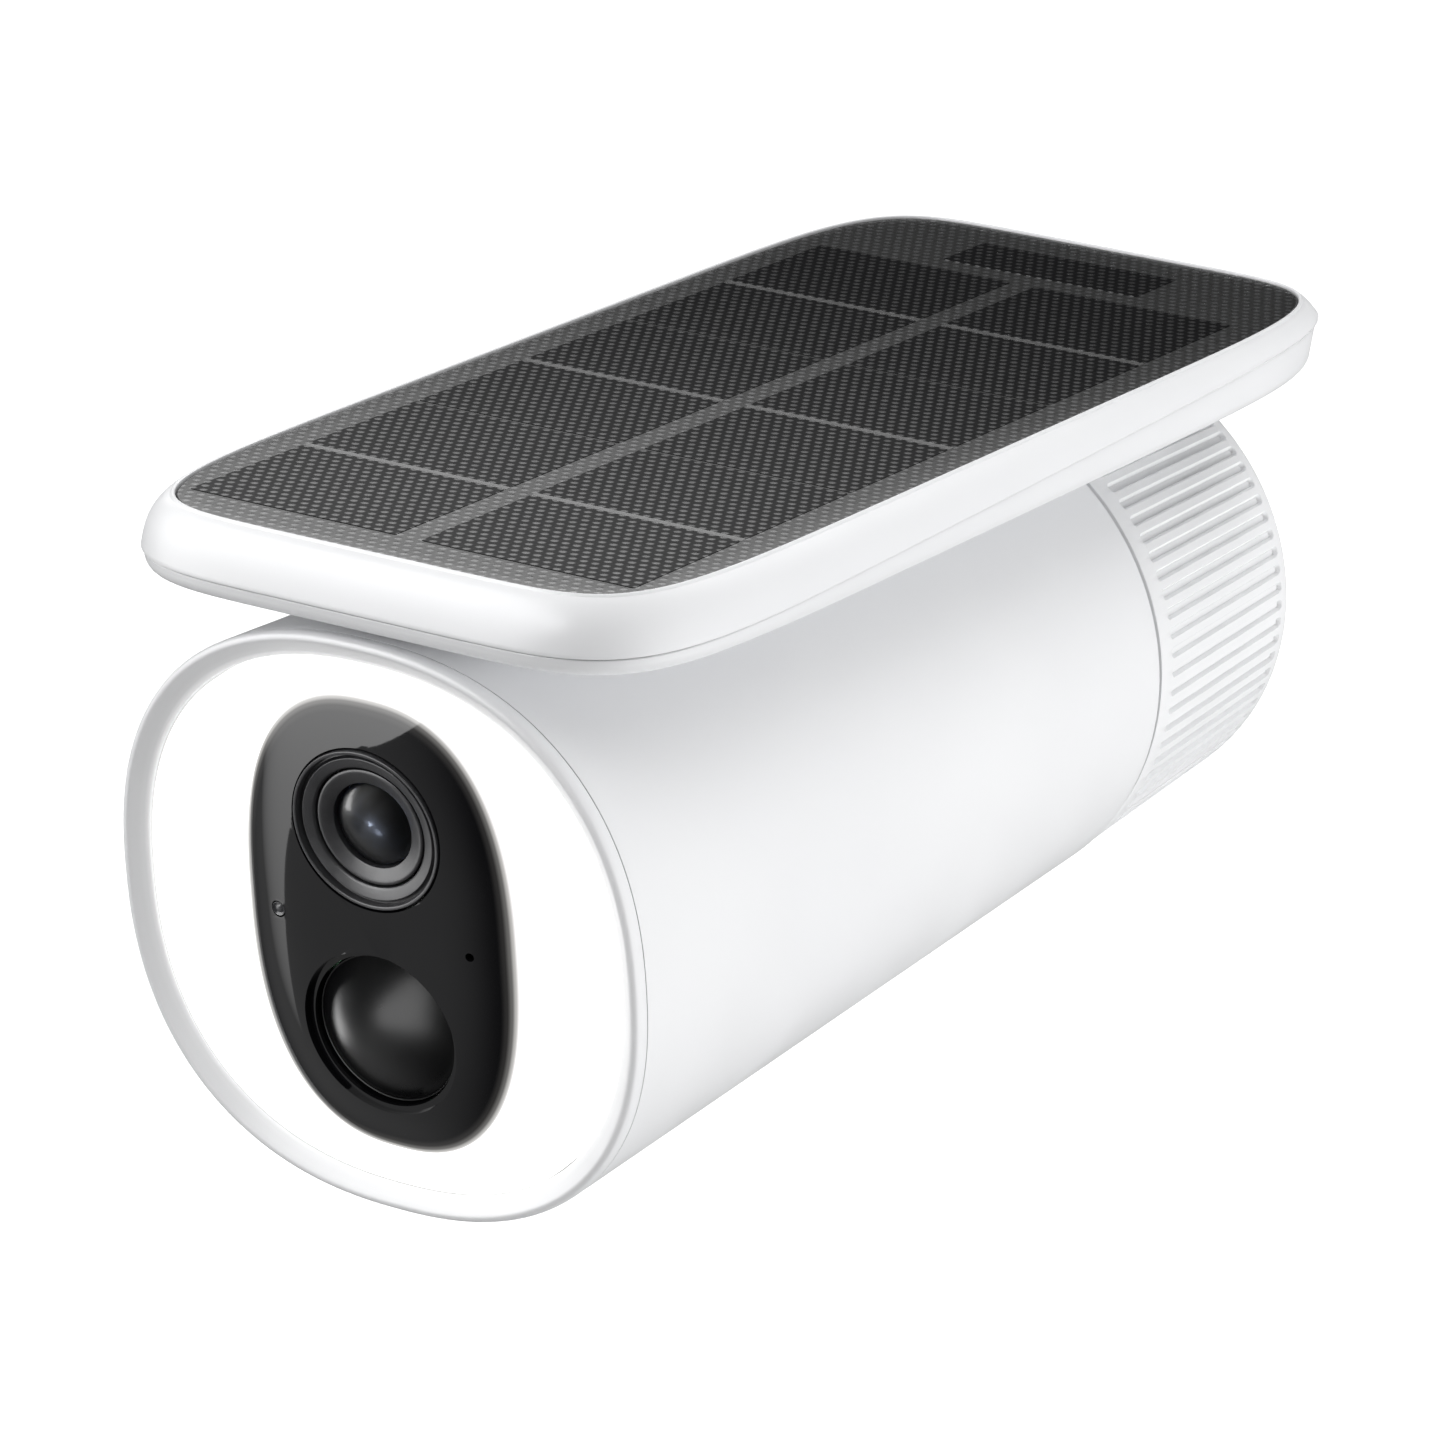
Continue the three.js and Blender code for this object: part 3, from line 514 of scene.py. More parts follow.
def glow():
    """Milky light guide, lit evenly, with a fine warm mottle."""
    shader = Shader("glow", (0.95, 0.95, 0.94), 0.45, emission_strength=1.35)
    fine = shader.between(shader.noise(900, 2), 0.3, 0.7, 0.0, 1.0)
    shader.feed(emission_color=shader.blend(fine, (1.0, 0.995, 0.985), (1.0, 0.985, 0.965)))
    return shader.grain(2500, 0.01)


def embossed(name, valley, painted_highlight_crest, dull, sheen, depth):
    """Laminated solar film with staggered rows of embossed dots. The film between the dots has the
    valley's colour and the dull specular level; the dots have the sheen and a painted highlight
    colour."""
    shader = Shader(name, valley, 0.30)
    split = shader.node("ShaderNodeSeparateXYZ", {0: shader.place})
    along = shader.maths("DIVIDE", split.outputs[1], DOT_ROW * MM)
    odd_row = shader.maths("FLOORED_MODULO", shader.maths("FLOOR", along), 2)
    stagger = shader.maths("MULTIPLY", odd_row, 0.5)
    across = shader.maths("ADD", shader.maths("DIVIDE", split.outputs[0], DOT_PITCH * MM), stagger)
    squares = []
    for value in (across, along):
        offset = shader.maths("SUBTRACT", shader.maths("FRACT", value), 0.5)
        squares.append(shader.maths("POWER", shader.maths("ABSOLUTE", offset), 2))
    reach = shader.maths("SQRT", shader.maths("ADD", *squares))
    dots = shader.between(reach, 0.40, 0.16, 0.0, 1.0)
    fade = shader.between(shader.noise(700, 2), 0.3, 0.7, 0.7, 1.0)
    speckle = shader.maths("MULTIPLY", dots, fade)
    shader.feed(specular_ior_level=shader.between(speckle, 0, 1, dull, sheen),
                base_color=shader.blend(speckle, valley, painted_highlight_crest),
                roughness=shader.between(shader.noise(1500, 3), 0.3, 0.7, 0.25, 0.35))
    return shader.relief(dots, depth)


def board_green():
    """Green solder mask over copper tracks."""
    mask = (0.012, 0.09, 0.035)
    shader = Shader("board_green", mask, 0.38)
    tracks = shader.node("ShaderNodeTexVoronoi", feature="DISTANCE_TO_EDGE", distance="CHEBYCHEV")
    shader.fill(tracks, {"Vector": shader.place, "Scale": 320})
    line = shader.between(tracks.outputs["Distance"], 0.02, 0.06, 1.0, 0.0)
    shader.feed(base_color=shader.blend(line, mask, (0.03, 0.19, 0.07)))
    return shader.relief(line, 0.03).grain(2200, 0.01)


LOOKS = {shader.name: shader.material for shader in (
    satin_white("white_plastic"),
    # The same plastic with a slightly coarser grain, where fingers hold it, and painted shade in its
    # slots.
    plain("grip_plastic", (0.86, 0.865, 0.875), (0.835, 0.84, 0.85), 0.42, 25, (80, 0.05),
          (3800, 0.01), (0.5, 0.4), specular_ior_level=0.42),
    # The panel's two shells, with only faint painted shade in their close joint.
    satin_white("panel_plastic", 0.7),
    glow_painted_plastic(),
    # Polished black acrylic with the faintest haze.
    plain("black_gloss", (0.004, 0.004, 0.005), (0.006, 0.006, 0.007), 0.05, 40, (90, 0.018),
          (60, 0.004), specular_ior_level=0.4),
    # Black infrared-clear plastic of the motion sensor's dome, softly polished.
    plain("dome_black", (0.004, 0.004, 0.0045), (0.007, 0.007, 0.0075), 0.3, 60, (120, 0.03),
          (900, 0.004), specular_ior_level=0.4),
    black_plate(),
    # Satin black finish of the lens rings, and the matt black inside of the barrel.
    plain("black_satin", (0.028, 0.028, 0.03), (0.02, 0.02, 0.022), 0.34, 120, (400, 0.06),
          (4500, 0.008), specular_ior_level=0.6),
    plain("inner_black", (0.006, 0.006, 0.007), (0.01, 0.01, 0.011), 0.55, 300, None, (6000, 0.01),
          specular_ior_level=0.15),
    # Deeply tinted glass with a soft sheen under a thin clear coat.
    plain("lens_glass", (0.04, 0.05, 0.08), (0.03, 0.04, 0.07), 0.3, 200, transmission_weight=1.0,
          ior=1.45, coat_weight=0.22, coat_roughness=0.03),
    # Inner lens element with a blue-violet coating.
    plain("coated_element", (0.004, 0.006, 0.02), (0.01, 0.016, 0.06), 0.03, 400,
          specular_ior_level=1.0, coat_weight=1.0, coat_roughness=0.01,
          coat_tint=(0.35, 0.55, 1.0), specular_tint=(0.35, 0.5, 1.0)),
    glow(),
    # The dots' lighter colour in each film is a painted highlight on their tops.
    embossed("solar_film", grey(0.020), (0.046, 0.047, 0.049), 0.30, 1.0, 0.03),
    embossed("cell_dark", (0.006, 0.006, 0.0065), (0.020, 0.020, 0.021), 0.03, 0.55, 0.03),
    embossed("ribbon", grey(0.06), (0.10, 0.10, 0.102), 0.9, 1.0, 0.01),
    board_green(),
    # White solder mask of the lamp board.
    plain("board_white", (0.78, 0.78, 0.75), (0.7, 0.7, 0.66), 0.42, 150, None, (2500, 0.01)),
    plain("rubber_dark", grey(0.022), grey(0.032), 0.72, 90, (200, 0.05), (2600, 0.02, 4),
          specular_ior_level=0.3),
    plain("rubber_white", (0.76, 0.765, 0.77), (0.72, 0.725, 0.73), 0.6, 90, (200, 0.05),
          (2600, 0.02, 4), specular_ior_level=0.3),
    # Plated steel with turning marks, and brass.
    plain("steel", (0.6, 0.6, 0.61), (0.48, 0.48, 0.49), 0.3, 500, (900, 0.1), (3000, 0.012),
          metallic=1.0),
    plain("brass", (0.72, 0.49, 0.2), (0.6, 0.39, 0.15), 0.28, 300, (800, 0.08), (2600, 0.012),
          metallic=1.0),
    # Shrink-wrapped battery cell.
    plain("cell_wrap", (0.03, 0.13, 0.4), (0.025, 0.11, 0.34), 0.32, 60, (150, 0.06), (500, 0.03),
          coat_weight=0.3),
    plain("grey_plastic", (0.10, 0.103, 0.107), (0.085, 0.087, 0.09), 0.5, 120, (300, 0.06),
          (3200, 0.014)),
    # Smoked window of the light sensor.
    plain("sensor_window", (0.05, 0.052, 0.055), (0.08, 0.08, 0.085), 0.18, 800, None,
          (2500, 0.006)),
)}


def dress(obj, look):
    """Gives an object one material, named by its look."""
    obj.data.materials.clear()
    obj.data.materials.append(LOOKS[look])


def piece(obj, look, stands_for=(), body="camera"):
    """Gives a new piece its look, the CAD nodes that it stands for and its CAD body."""
    dress(obj, look)
    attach(obj, body)
    if stands_for:
        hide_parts(*stands_for)


# ---- body


def body_point(angle, station):
    """Point of the body at a distance behind the rim plane, moved inwards by an inset."""
    distance, inset = station
    t = distance / BODY_LENGTH
    front_x, front_z = outline(RIM_HALF_WIDTH - inset, RIM_HALF_HEIGHT - inset, RIM_POWER, angle)
    rear_x, rear_z = outline(SEAM_RADIUS - inset, SEAM_RADIUS - inset, 2, angle)
    front_y = FACE_Y - front_z * sin(FACE_PITCH)
    return (front_x + (rear_x - front_x) * t,
            front_y + (SEAM_Y - front_y) * t,
            front_z * cos(FACE_PITCH) + (rear_z - front_z * cos(FACE_PITCH)) * t)


def speaker_slots():
    """Cutters for five round-ended slots in the underside."""
    cutters = []
    for row in range(-2, 3):
        half = 8 if row % 2 == 0 else 9
        place = shift(0, SPEAKER_Y + row * SPEAKER_PITCH, -36) @ LAID_FLAT
        cutters.append(slab(f"slot_cutter_{row}", box_outline(half, 0.8, 0.79), -8, 10, 0.01, place))
    return cutters


def build_body():
    """Tapered tube behind the bezel, with the speaker's slots."""
    start = BEZEL_LENGTH + JOINT_LINE
    end = BODY_LENGTH - SEAM_SETBACK
    along = [(d, 0, 0) for d in spaced(start + 2, end - 2, 16)]
    section = rounded([(start, 0, 0.16), *along, (end, 0, 0.2), (end, WALL, 0),
                       (end / 2, WALL, 0), (start, WALL, 0)], 0)
    shell = sweep("body_tube", section, body_point, AROUND)
    cut(shell, *speaker_slots())
    piece(shell, "white_plastic", ["body_shell"])


def mark_edge_distance(obj, half_x, half_z, power):
    """Stores at each point how far it is, in the plane of the face, from a superellipse outline."""
    to_face = (Matrix.Scale(MM, 4) @ FACE).inverted()
    edge = obj.data.attributes.new("edge_distance", "FLOAT", "POINT")
    for vertex, value in zip(obj.data.vertices, edge.data):
        x, _, z = to_face @ vertex.co
        scale = max((abs(x / half_x) ** power + abs(z / half_z) ** power) ** (1 / power), 0.01)
        value.value = abs(1 - scale) * hypot(x, z) / scale


def build_bezel():
    """Front ring, whose rim slopes inwards to the glowing ring."""
    section = rounded([
        (0.05, 0.95, 0.35), (0.32, 0.28, 0.3), (1.1, 0, 0.4), (BEZEL_LENGTH, 0, 0.16),
        (BEZEL_LENGTH, BEZEL_WALL, 0), (9, BEZEL_WALL, 0.3), (9, 5.2, 0.3), (4.3, 5.2, 0),
        (4.3, BEZEL_SLOPE, 0), (GLOW_DEPTH, BEZEL_SLOPE, 0.2), (1.6, 3.0, 0), (1.3, 2.6, 0),
        (0.95, 2.14, 0), (0.6, 1.68, 0),
    ], 0.2)
    bezel = sweep("bezel_ring", section, body_point, AROUND)
    # The distance to the edge places the painted glow on the bezel's inner slope.
    mark_edge_distance(bezel, RIM_HALF_WIDTH - BEZEL_SLOPE, RIM_HALF_HEIGHT - BEZEL_SLOPE, RIM_POWER)
    piece(bezel, "glow_painted_plastic", ["front_bezel"])


# ---- face


def build_diffuser():
    """Flat milky ring between the bezel and the plate."""
    gap = 0.15

    def point_at(angle, station):
        share, depth = station
        outer = outline(GLOW_HALF_WIDTH, GLOW_OUTLINE_HEIGHT, RIM_POWER, angle)
        inner = outline(PLATE_HALF_WIDTH + gap, PLATE_HALF_HEIGHT + gap, PLATE_POWER, angle)
        return (inner[0] + (outer[0] - inner[0]) * share, depth,
                inner[1] + (outer[1] - GLOW_DROP - inner[1]) * share)

    edge, crown, back = GLOW_DEPTH + 0.1, GLOW_DEPTH - 0.08, GLOW_DEPTH + GLOW_THICK
    section = [(0, edge), (0.02, GLOW_DEPTH), (0.35, crown), (0.65, crown), (0.98, GLOW_DEPTH),
               (1, edge), (1, back), (0, back)]
    ring = sweep("light_ring", section, point_at, AROUND, FACE)
    piece(ring, "glow", ["light_diffuser"])


def plate_front(scale):
    """Depth of the front of the plate: nearly flat in the middle and rolled off at the edge."""
    return GLOW_DEPTH - PLATE_DOME * (1 - scale ** 6)


def round_cutter(name, radius, x, z, back=8, around=96):
    """Cylinder that cuts a round opening into the plate, down to a depth."""
    front = -6
    return turned(name, [(0, front), (radius, front), (radius, back), (0, back)],
                  FACE @ shift(x, 0, z), around, 0)


def build_plate():
    """Domed black plate with its openings, and at each point the distance to its edge."""

    def point_at(angle, station):
        scale, depth = station
        x, z = outline(PLATE_HALF_WIDTH, PLATE_HALF_HEIGHT, PLATE_POWER, angle)
        return x * scale, depth, z * scale

    # The steps are finer towards the edge, where the front rolls off.
    scales = [0.15, 0.3, 0.42, 0.52, 0.6, 0.67, 0.73, 0.78, 0.825, 0.865, 0.9, 0.93, 0.955, 0.975,
              0.99, 1]
    section = [(scale, plate_front(scale)) for scale in scales] + [(1, PLATE_BACK)]
    plate = sweep("front_plate", section, point_at, PLATE_AROUND, FACE, closed=False, sharp=25,
                  capped=True)
    step = plate_front(0) + 1.2
    cut(plate,
        round_cutter("cut_lens", LENS_OPENING, 0, EYE_OFFSET),
        round_cutter("cut_step", MOTION_RECESS, 0, -EYE_OFFSET, back=step),
        round_cutter("cut_motion", MOTION_OPENING, 0, -EYE_OFFSET),
        round_cutter("cut_microphone", MICROPHONE_RADIUS, MICROPHONE_X, 0, around=24),
        round_cutter("cut_sensor", WINDOW_RADIUS + 0.2, -MICROPHONE_X, 0, around=32), sharp=25)
    bevel(plate, 0.14, sharp=25)
    # The distance to the edge places the painted glow near the plate's edge.
    mark_edge_distance(plate, PLATE_HALF_WIDTH, PLATE_HALF_HEIGHT, PLATE_POWER)
    piece(plate, "black_plate", ["face_plate"])


def build_lens_ring():
    """Chamfered outer ring, with a groove just inside its lip."""
    ring = turned("lens_ring", [
        (8.25, 2.4), (8.25, 0.65), (8.45, 0.42), (9.75, 0.02, 0.1), (10.0, 0.55, 0.1),
        (10.3, 0.6, 0.05), (10.45, -0.45, 0.1), (LENS_RING_RADIUS, -0.5, 0.15),
        (LENS_RING_RADIUS, 5), (8.8, 5),
    ], LENS_EYE, 128, 0.08)
    piece(ring, "black_satin", ["lens_bezel"])


def build_lens_cup():
    """Cupped inner ring and the barrel behind it."""
    seat = GLASS_RADIUS + 0.2
    cup = turned("lens_cup", [
        (seat, 1.3, 0.1), (7.6, 0.62, 0.4), (LENS_CUP_RADIUS, 0.75, 0.1), (LENS_CUP_RADIUS, 10),
        (7.0, 10), (7.0, 16), (5.0, 16), (5.0, 3.6), (seat, 3.6),
    ], LENS_EYE, 128, 0.1)
    piece(cup, "black_satin", ["lens_barrel"])


def build_lens_glass():
    """Convex front element, with the stop and the second element behind it."""
    glass = turned("front_element", [
        (0, 0.1), (1.4, 0.2, 0.6), (2.8, 0.5, 0.6), (4.0, 0.95, 0.6), (4.9, 1.45, 0.6),
        (GLASS_RADIUS, 2.05, 0.1), (GLASS_RADIUS, 3.3, 0.1), (4.9, 3.3, 0.2), (4.2, 2.6, 0.5),
        (3, 1.75, 0.5), (1.5, 1.25, 0.5), (0, 1.1),
    ], LENS_EYE, 128, 0.1, sharp=40)
    piece(glass, "lens_glass", ["lens_glass"])
    bore = ELEMENT_RADIUS + 0.1
    stop = turned("lens_stop", [
        (bore, 2.95, 0.1), (3.2, 3.6, 0.2), (STOP_RADIUS, 3.9, 0.1), (STOP_RADIUS, 6.2),
        (bore, 6.2),
    ], LENS_EYE, 96, 0.1)
    piece(stop, "inner_black")
    element = turned("second_element", [
        (0, 2.1), (0.45, 2.2, 0.3), (0.85, 2.5, 0.3), (ELEMENT_RADIUS, 3.0, 0.2),
        (ELEMENT_RADIUS, 6.1, 0.1), (0, 6.1),
    ], LENS_EYE, 64, 0.2, sharp=40)
    piece(element, "coated_element")


def build_motion_lens():
    """Thin black dome, a cap of a sphere, with a raised bead around its rim and a skirt behind."""
    sphere = (MOTION_RADIUS ** 2 + MOTION_RISE ** 2) / (2 * MOTION_RISE)
    centre = MOTION_APEX + sphere
    reach = 0.95 * asin(MOTION_RADIUS / sphere)

    def arc(radius, angles):
        return [(radius * sin(a), centre - radius * cos(a), 0) for a in angles]

    outer = arc(sphere, spaced(0, reach, 18))
    rim_y = outer[-1][1]
    bead = [(MOTION_RADIUS - 0.45, rim_y - 0.12, 0.1), (MOTION_RADIUS - 0.2, rim_y - 0.2, 0.12)]
    back = MOTION_APEX + MOTION_RISE + 1.4
    skirt = [(MOTION_RADIUS, back), (MOTION_RADIUS - 1.2, back)]
    inner = arc(sphere - MOTION_THICK, spaced(reach, 0, 10))
    dome = turned("motion_dome", outer + bead + skirt + inner, MOTION_EYE, 128, 0.1)
    piece(dome, "dome_black", ["motion_lens"])


def build_sensor_window():
    """Small window with a raised ring around a raised middle."""
    window = turned("sensor_pin", [
        (0, -0.15), (0.45, -0.1, 0.2), (0.6, 0.12, 0.1), (WINDOW_RADIUS, -0.2, 0.1),
        (WINDOW_RADIUS, 2.6), (0, 2.6),
    ], FACE @ shift(-MICROPHONE_X, 0, 0), 48, 0.1)
    piece(window, "sensor_window", ["light_sensor_window"])


# ---- rear end


def grip_radius(y):
    """Outer radius of the grip ring, which tapers towards the rear."""
    share = (y - GRIP_FRONT_Y) / (GRIP_REAR_Y - GRIP_FRONT_Y)
    return GRIP_FRONT_RADIUS + (GRIP_REAR_RADIUS - GRIP_FRONT_RADIUS) * share


def slot_depth(across, y):
    """Depth of a finger slot at a distance across it: a rounded box with soft walls."""
    half_length = (SLOT_REAR_Y - SLOT_FRONT_Y) / 2
    corner = SLOT_WIDTH * 0.48
    dx = abs(across) - (SLOT_WIDTH / 2 - corner)
    dy = abs(y - (SLOT_FRONT_Y + SLOT_REAR_Y) / 2) - (half_length - corner)
    distance = hypot(max(dx, 0), max(dy, 0)) + min(max(dx, dy), 0) - corner
    share = min(max(0.5 - distance / (2 * SLOT_WALL), 0), 1)
    return SLOT_DEPTH * share * share * (3 - 2 * share)


def grip_columns():
    """Columns of the grip's grid, as [angle, distance across from the nearest slot's middle]."""
    pitch = 2 * pi / SLOT_COUNT
    half = SLOT_WIDTH / 2
    reach = SLOT_WALL + 0.04
    offsets = [-half - reach, -half, -half + reach, 0, half - reach, half, half + reach]
    middle = grip_radius((SLOT_FRONT_Y + SLOT_REAR_Y) / 2)
    columns = []
    for i in range(SLOT_COUNT):
        columns += [(pitch * (i + 0.5) + offset / middle, offset) for offset in offsets]
        columns.append((pitch * (i + 1), pitch * middle / 2))
    return columns


def grip_outside():
    """Outer rows of the grip's grid, as [radius, y]: a rounded lip, the slots and a rounded end."""
    front, rear = grip_radius(GRIP_FRONT_Y), grip_radius(GRIP_REAR_Y)
    slot_ends = [-0.2, 0, 0.16, 0.32, 0.55, 0.9]
    rows = [SLOT_FRONT_Y + e for e in slot_ends]
    rows += spaced(SLOT_FRONT_Y + 5, SLOT_REAR_Y - 5, 4)
    rows += [SLOT_REAR_Y - e for e in reversed(slot_ends)]
    lip = [(front - 0.45, GRIP_FRONT_Y), (front - 0.13, GRIP_FRONT_Y + 0.12),
           (front, GRIP_FRONT_Y + 0.45)]
    end = [(rear - inset, GRIP_REAR_Y - depth) for inset, depth in
           ((-0.02, 1.6), (0.12, 0.9), (0.5, 0.35), (1.1, 0.05), (1.6, 0))]
    return lip + [(grip_radius(y), y) for y in rows] + end


def grip_inside():
    """Inner rows of the grip's grid, with the collar that turns on the rear bulkhead."""
    rear = grip_radius(GRIP_REAR_Y) - GRIP_WALL
    collar_back, collar_front = -8, -12
    return [(rear + 0.2, GRIP_REAR_Y), (rear, GRIP_REAR_Y - 0.2),
            (grip_radius(collar_back) - GRIP_WALL, collar_back), (BEARING_RADIUS, collar_back),
            (BEARING_RADIUS, collar_front), (grip_radius(collar_front) - GRIP_WALL, collar_front),
            (grip_radius(GRIP_FRONT_Y) - GRIP_WALL, GRIP_FRONT_Y)]


def build_grip():
    """Tapered ring with finger slots, made as a grid whose columns follow the slots."""
    columns = grip_columns()
    outside = [(radius, y, True) for radius, y in grip_outside()]
    inside = [(radius, y, False) for radius, y in grip_inside()]
    bm = bmesh.new()
    rows = []
    for radius, y, slotted in outside + inside:
        row = []
        for angle, across in columns:
            r = radius - slot_depth(across, y) if slotted else radius
            row.append(bm.verts.new((r * sin(angle), y, r * cos(angle))))
        rows.append(row)
    skin(bm, rows, closed=True)
    ring = finish_mesh(bm, "finger_ring", Matrix(), 40)
    piece(ring, "grip_plastic", ["grip_ring"], "solar_head")


def build_cap():
    """Fixed end cap with its boss, the port's pocket and opening, and four screw bores."""
    disc = turned("end_cap", [
        (BOSS_BORE, -13, 0), (BOSS_RADIUS, -13, 0), (BOSS_RADIUS, CAP_BACK_Y, 0),
        (CAP_RADIUS, CAP_BACK_Y, 0.2), (CAP_RADIUS, CAP_FACE_Y, 0.7),
        (BOSS_RADIUS + 0.7, CAP_FACE_Y, 0.3), (BOSS_RADIUS, 0, 0.25), (BOSS_BORE, 0, 0.15),
    ], around=128)
    pocket = slab("cut_pocket", box_outline(10.75, 4.55, 2.35), -3.1, 4, 0.01, shift(0, 0, PORT_Z))
    opening = slab("cut_opening", box_outline(8.6, 2.9, 1.5), -9, 4, 0.01, shift(0, 0, PORT_Z))
    bores = []
    hole, recess, ledge = SCREW_SHANK + 0.3, SCREW_RADIUS + 0.4, CAP_FACE_Y - 1.9
    profile = [(0, -9), (hole, -9), (hole, ledge), (recess, ledge), (recess, 4), (0, 4)]
    for i in range(1, 5):
        x, _, z = middle_of(f"cap_screw_{i}")
        bores.append(turned(f"cut_bore_{i}", profile, shift(x, 0, z), 48, 0))
    cut(disc, pocket, opening, *bores)
    bevel(disc, 0.18)
    piece(disc, "white_plastic", ["rear_cap"])


def build_cap_screws():
    """Cross-head screws, each turned to its own angle."""
    for i in range(1, 5):
        x, _, z = middle_of(f"cap_screw_{i}")
        top = CAP_FACE_Y - 0.2
        place = shift(x, top, z) @ turn(radians(20 + 35 * i), "Y")
        head = turned(f"cross_screw_{i}", [
            (0, 0), (1.2, -0.04, 0.4), (2.0, -0.25, 0.3), (SCREW_RADIUS, -0.75, 0.2),
            (SCREW_RADIUS, -1.3, 0.1), (SCREW_SHANK, -1.35, 0), (SCREW_SHANK, -8.6, 0.3), (0, -8.8),
        ], place, 64, 0.1)
        cross = [slab(f"cut_cross_{i}_{k}", box_outline(1.35, 0.28, 0.1), -0.9, 1, 0.01,
                      place @ turn(k * pi / 2, "Y")) for k in (0, 1)]
        cut(head, *cross)
        piece(head, "steel", [f"cap_screw_{i}"])


def build_insert():
    """Brass insert with a helical thread in its bore."""
    def point_at(angle, station):
        radius, y, threaded = station
        if threaded:
            wave = (y / THREAD_PITCH + angle / (2 * pi)) % 1
            radius -= THREAD_DEPTH * (1 - abs(2 * wave - 1))
        return radius * cos(angle), y, radius * sin(angle)

    first, last = -1.0, -1.0 - THREAD_TURNS * THREAD_PITCH
    bore = [(3.2, y, True) for y in spaced(first, last, THREAD_TURNS * 6 + 1)]
    outside = [(3.3, INSERT_BACK_Y), (INSERT_RADIUS - 0.2, INSERT_BACK_Y),
               (INSERT_RADIUS, INSERT_BACK_Y + 0.2), (INSERT_RADIUS, -0.4),
               (INSERT_RADIUS - 0.2, -0.15), (3.75, -0.15), (3.3, -0.7)]
    section = bore + [(radius, y, False) for radius, y in outside]
    insert = sweep("threaded_insert", section, point_at, 48)
    piece(insert, "brass", ["mount_insert"])


def join(name, *objects):
    """One object out of several."""
    bm = bmesh.new()
    for obj in objects:
        bm.from_mesh(obj.data)
        bpy.data.objects.remove(obj)
    return smooth(mesh_object(name, bm))


def build_flap():
    """Rubber flap over the port: a soft pad with a finger lip and the plug behind it."""
    at_port = shift(0, 0, PORT_Z)
    pad = slab("pad", box_outline(10.5, 4.3, 2.1), -2.8, CAP_FACE_Y, 0.35, at_port)
    lip = slab("lip", box_outline(3.2, 0.45, 0.44), CAP_FACE_Y - 0.3, CAP_FACE_Y + 0.25, 0.2,
               shift(0, 0, PORT_Z + 2.9))
    plug = slab("plug", box_outline(3.6, 1.2, 1.1), -3.7, -2.5, 0.25, shift(SOCKET_X, 0, PORT_Z))
    piece(join("flap_pad", pad, lip, plug), "rubber_white", ["port_flap"], "flap")


def build_port():
    """Charging socket with its tongue, and the power button beside it."""
    at_socket = shift(SOCKET_X, 0, PORT_Z)
    shell = slab("socket_shell", box_outline(4.5, 1.6, 1.55), -11.5, -4.2, 0.15, at_socket)
    cut(shell, slab("cut_mouth", box_outline(4.15, 1.25, 1.2), -10.5, 0, 0.01, at_socket))
    piece(shell, "steel", ["charging_socket"])
    tongue = slab("socket_tongue", box_outline(3.3, 0.35, 0.15), -10.4, -5, 0.1, at_socket)
    piece(tongue, "inner_black")
    x, _, z = middle_of("power_button")
    button = turned("button_cap", [
        (0, -9), (1.9, -9, 0.1), (1.9, -4.3, 0.35), (1.2, -4, 0.2), (0.6, -4.25, 0.3), (0, -4.3),
    ], shift(x, 0, z), 48)
    piece(button, "grey_plastic", ["power_button"], "button")


# ---- solar panel


def outline_normal(angle):
    """Outward normal of the sheet's outline."""
    power = 2 - 2 / SHEET_POWER
    x, y = cos(angle), sin(angle)
    normal = Vector((copysign(abs(x) ** power, x) / SHEET_HALF_WIDTH,
                     copysign(abs(y) ** power, y) / SHEET_HALF_LENGTH))
    return normal.normalized()


def around_panel(name, stations, closed=True):
    """Sweeps a section around the panel. A station gives [offset beyond the sheet, depth] for a
    place along the panel; an offset of None is the middle of the panel."""

    def point_at(angle, station):
        x, y = outline(SHEET_HALF_WIDTH, SHEET_HALF_LENGTH, SHEET_POWER, angle)
        normal = outline_normal(angle)
        offset, depth = station(y)
        if offset is None:
            return 0, 0, -depth
        return x + normal.x * offset, y + normal.y * offset, -depth

    return sweep(name, stations, point_at, PANEL_AROUND, PANEL, closed)


def fixed(*stations):
    """Stations that are the same all along the panel."""
    return [lambda y, s=s: s for s in stations]


def parting_depth(y):
    """Depth of the line between trim and tray, which runs deeper towards the front."""
    return 4.6 - 0.026 * y


def flare(depth):
    """How far the trim stands out beyond the sheet at a depth."""
    return 4.6 - 3.7 * exp(-depth / 2.6)


def build_panel_frame():
    """White trim: a fine bead around the sheet, a groove and an outward flare."""
    def flared(share):
        def station(y):
            depth = parting_depth(y) * share
            return flare(depth), depth
        return station

    def lower(offset, up):
        return lambda y: (flare(parting_depth(y)) - offset, parting_depth(y) - up)

    bead = fixed((0.12, 0.8), (0.1, -0.02), (0.2, -0.2), (0.36, -0.27), (0.54, -0.26),
                 (0.7, -0.13), (0.8, 0.06))
    flank = [flared(s) for s in (0.05, 0.1, 0.16, 0.24, 0.34, 0.46, 0.6, 0.75, 0.9)]
    edge = [lower(0.02, 0.22), lower(0.08, 0.07), lower(0.24, 0)]
    trim = around_panel("trim_frame", bead + flank + edge + [lambda y: (0.12, parting_depth(y))])
    piece(trim, "panel_plastic", ["panel_frame"], "solar_head")


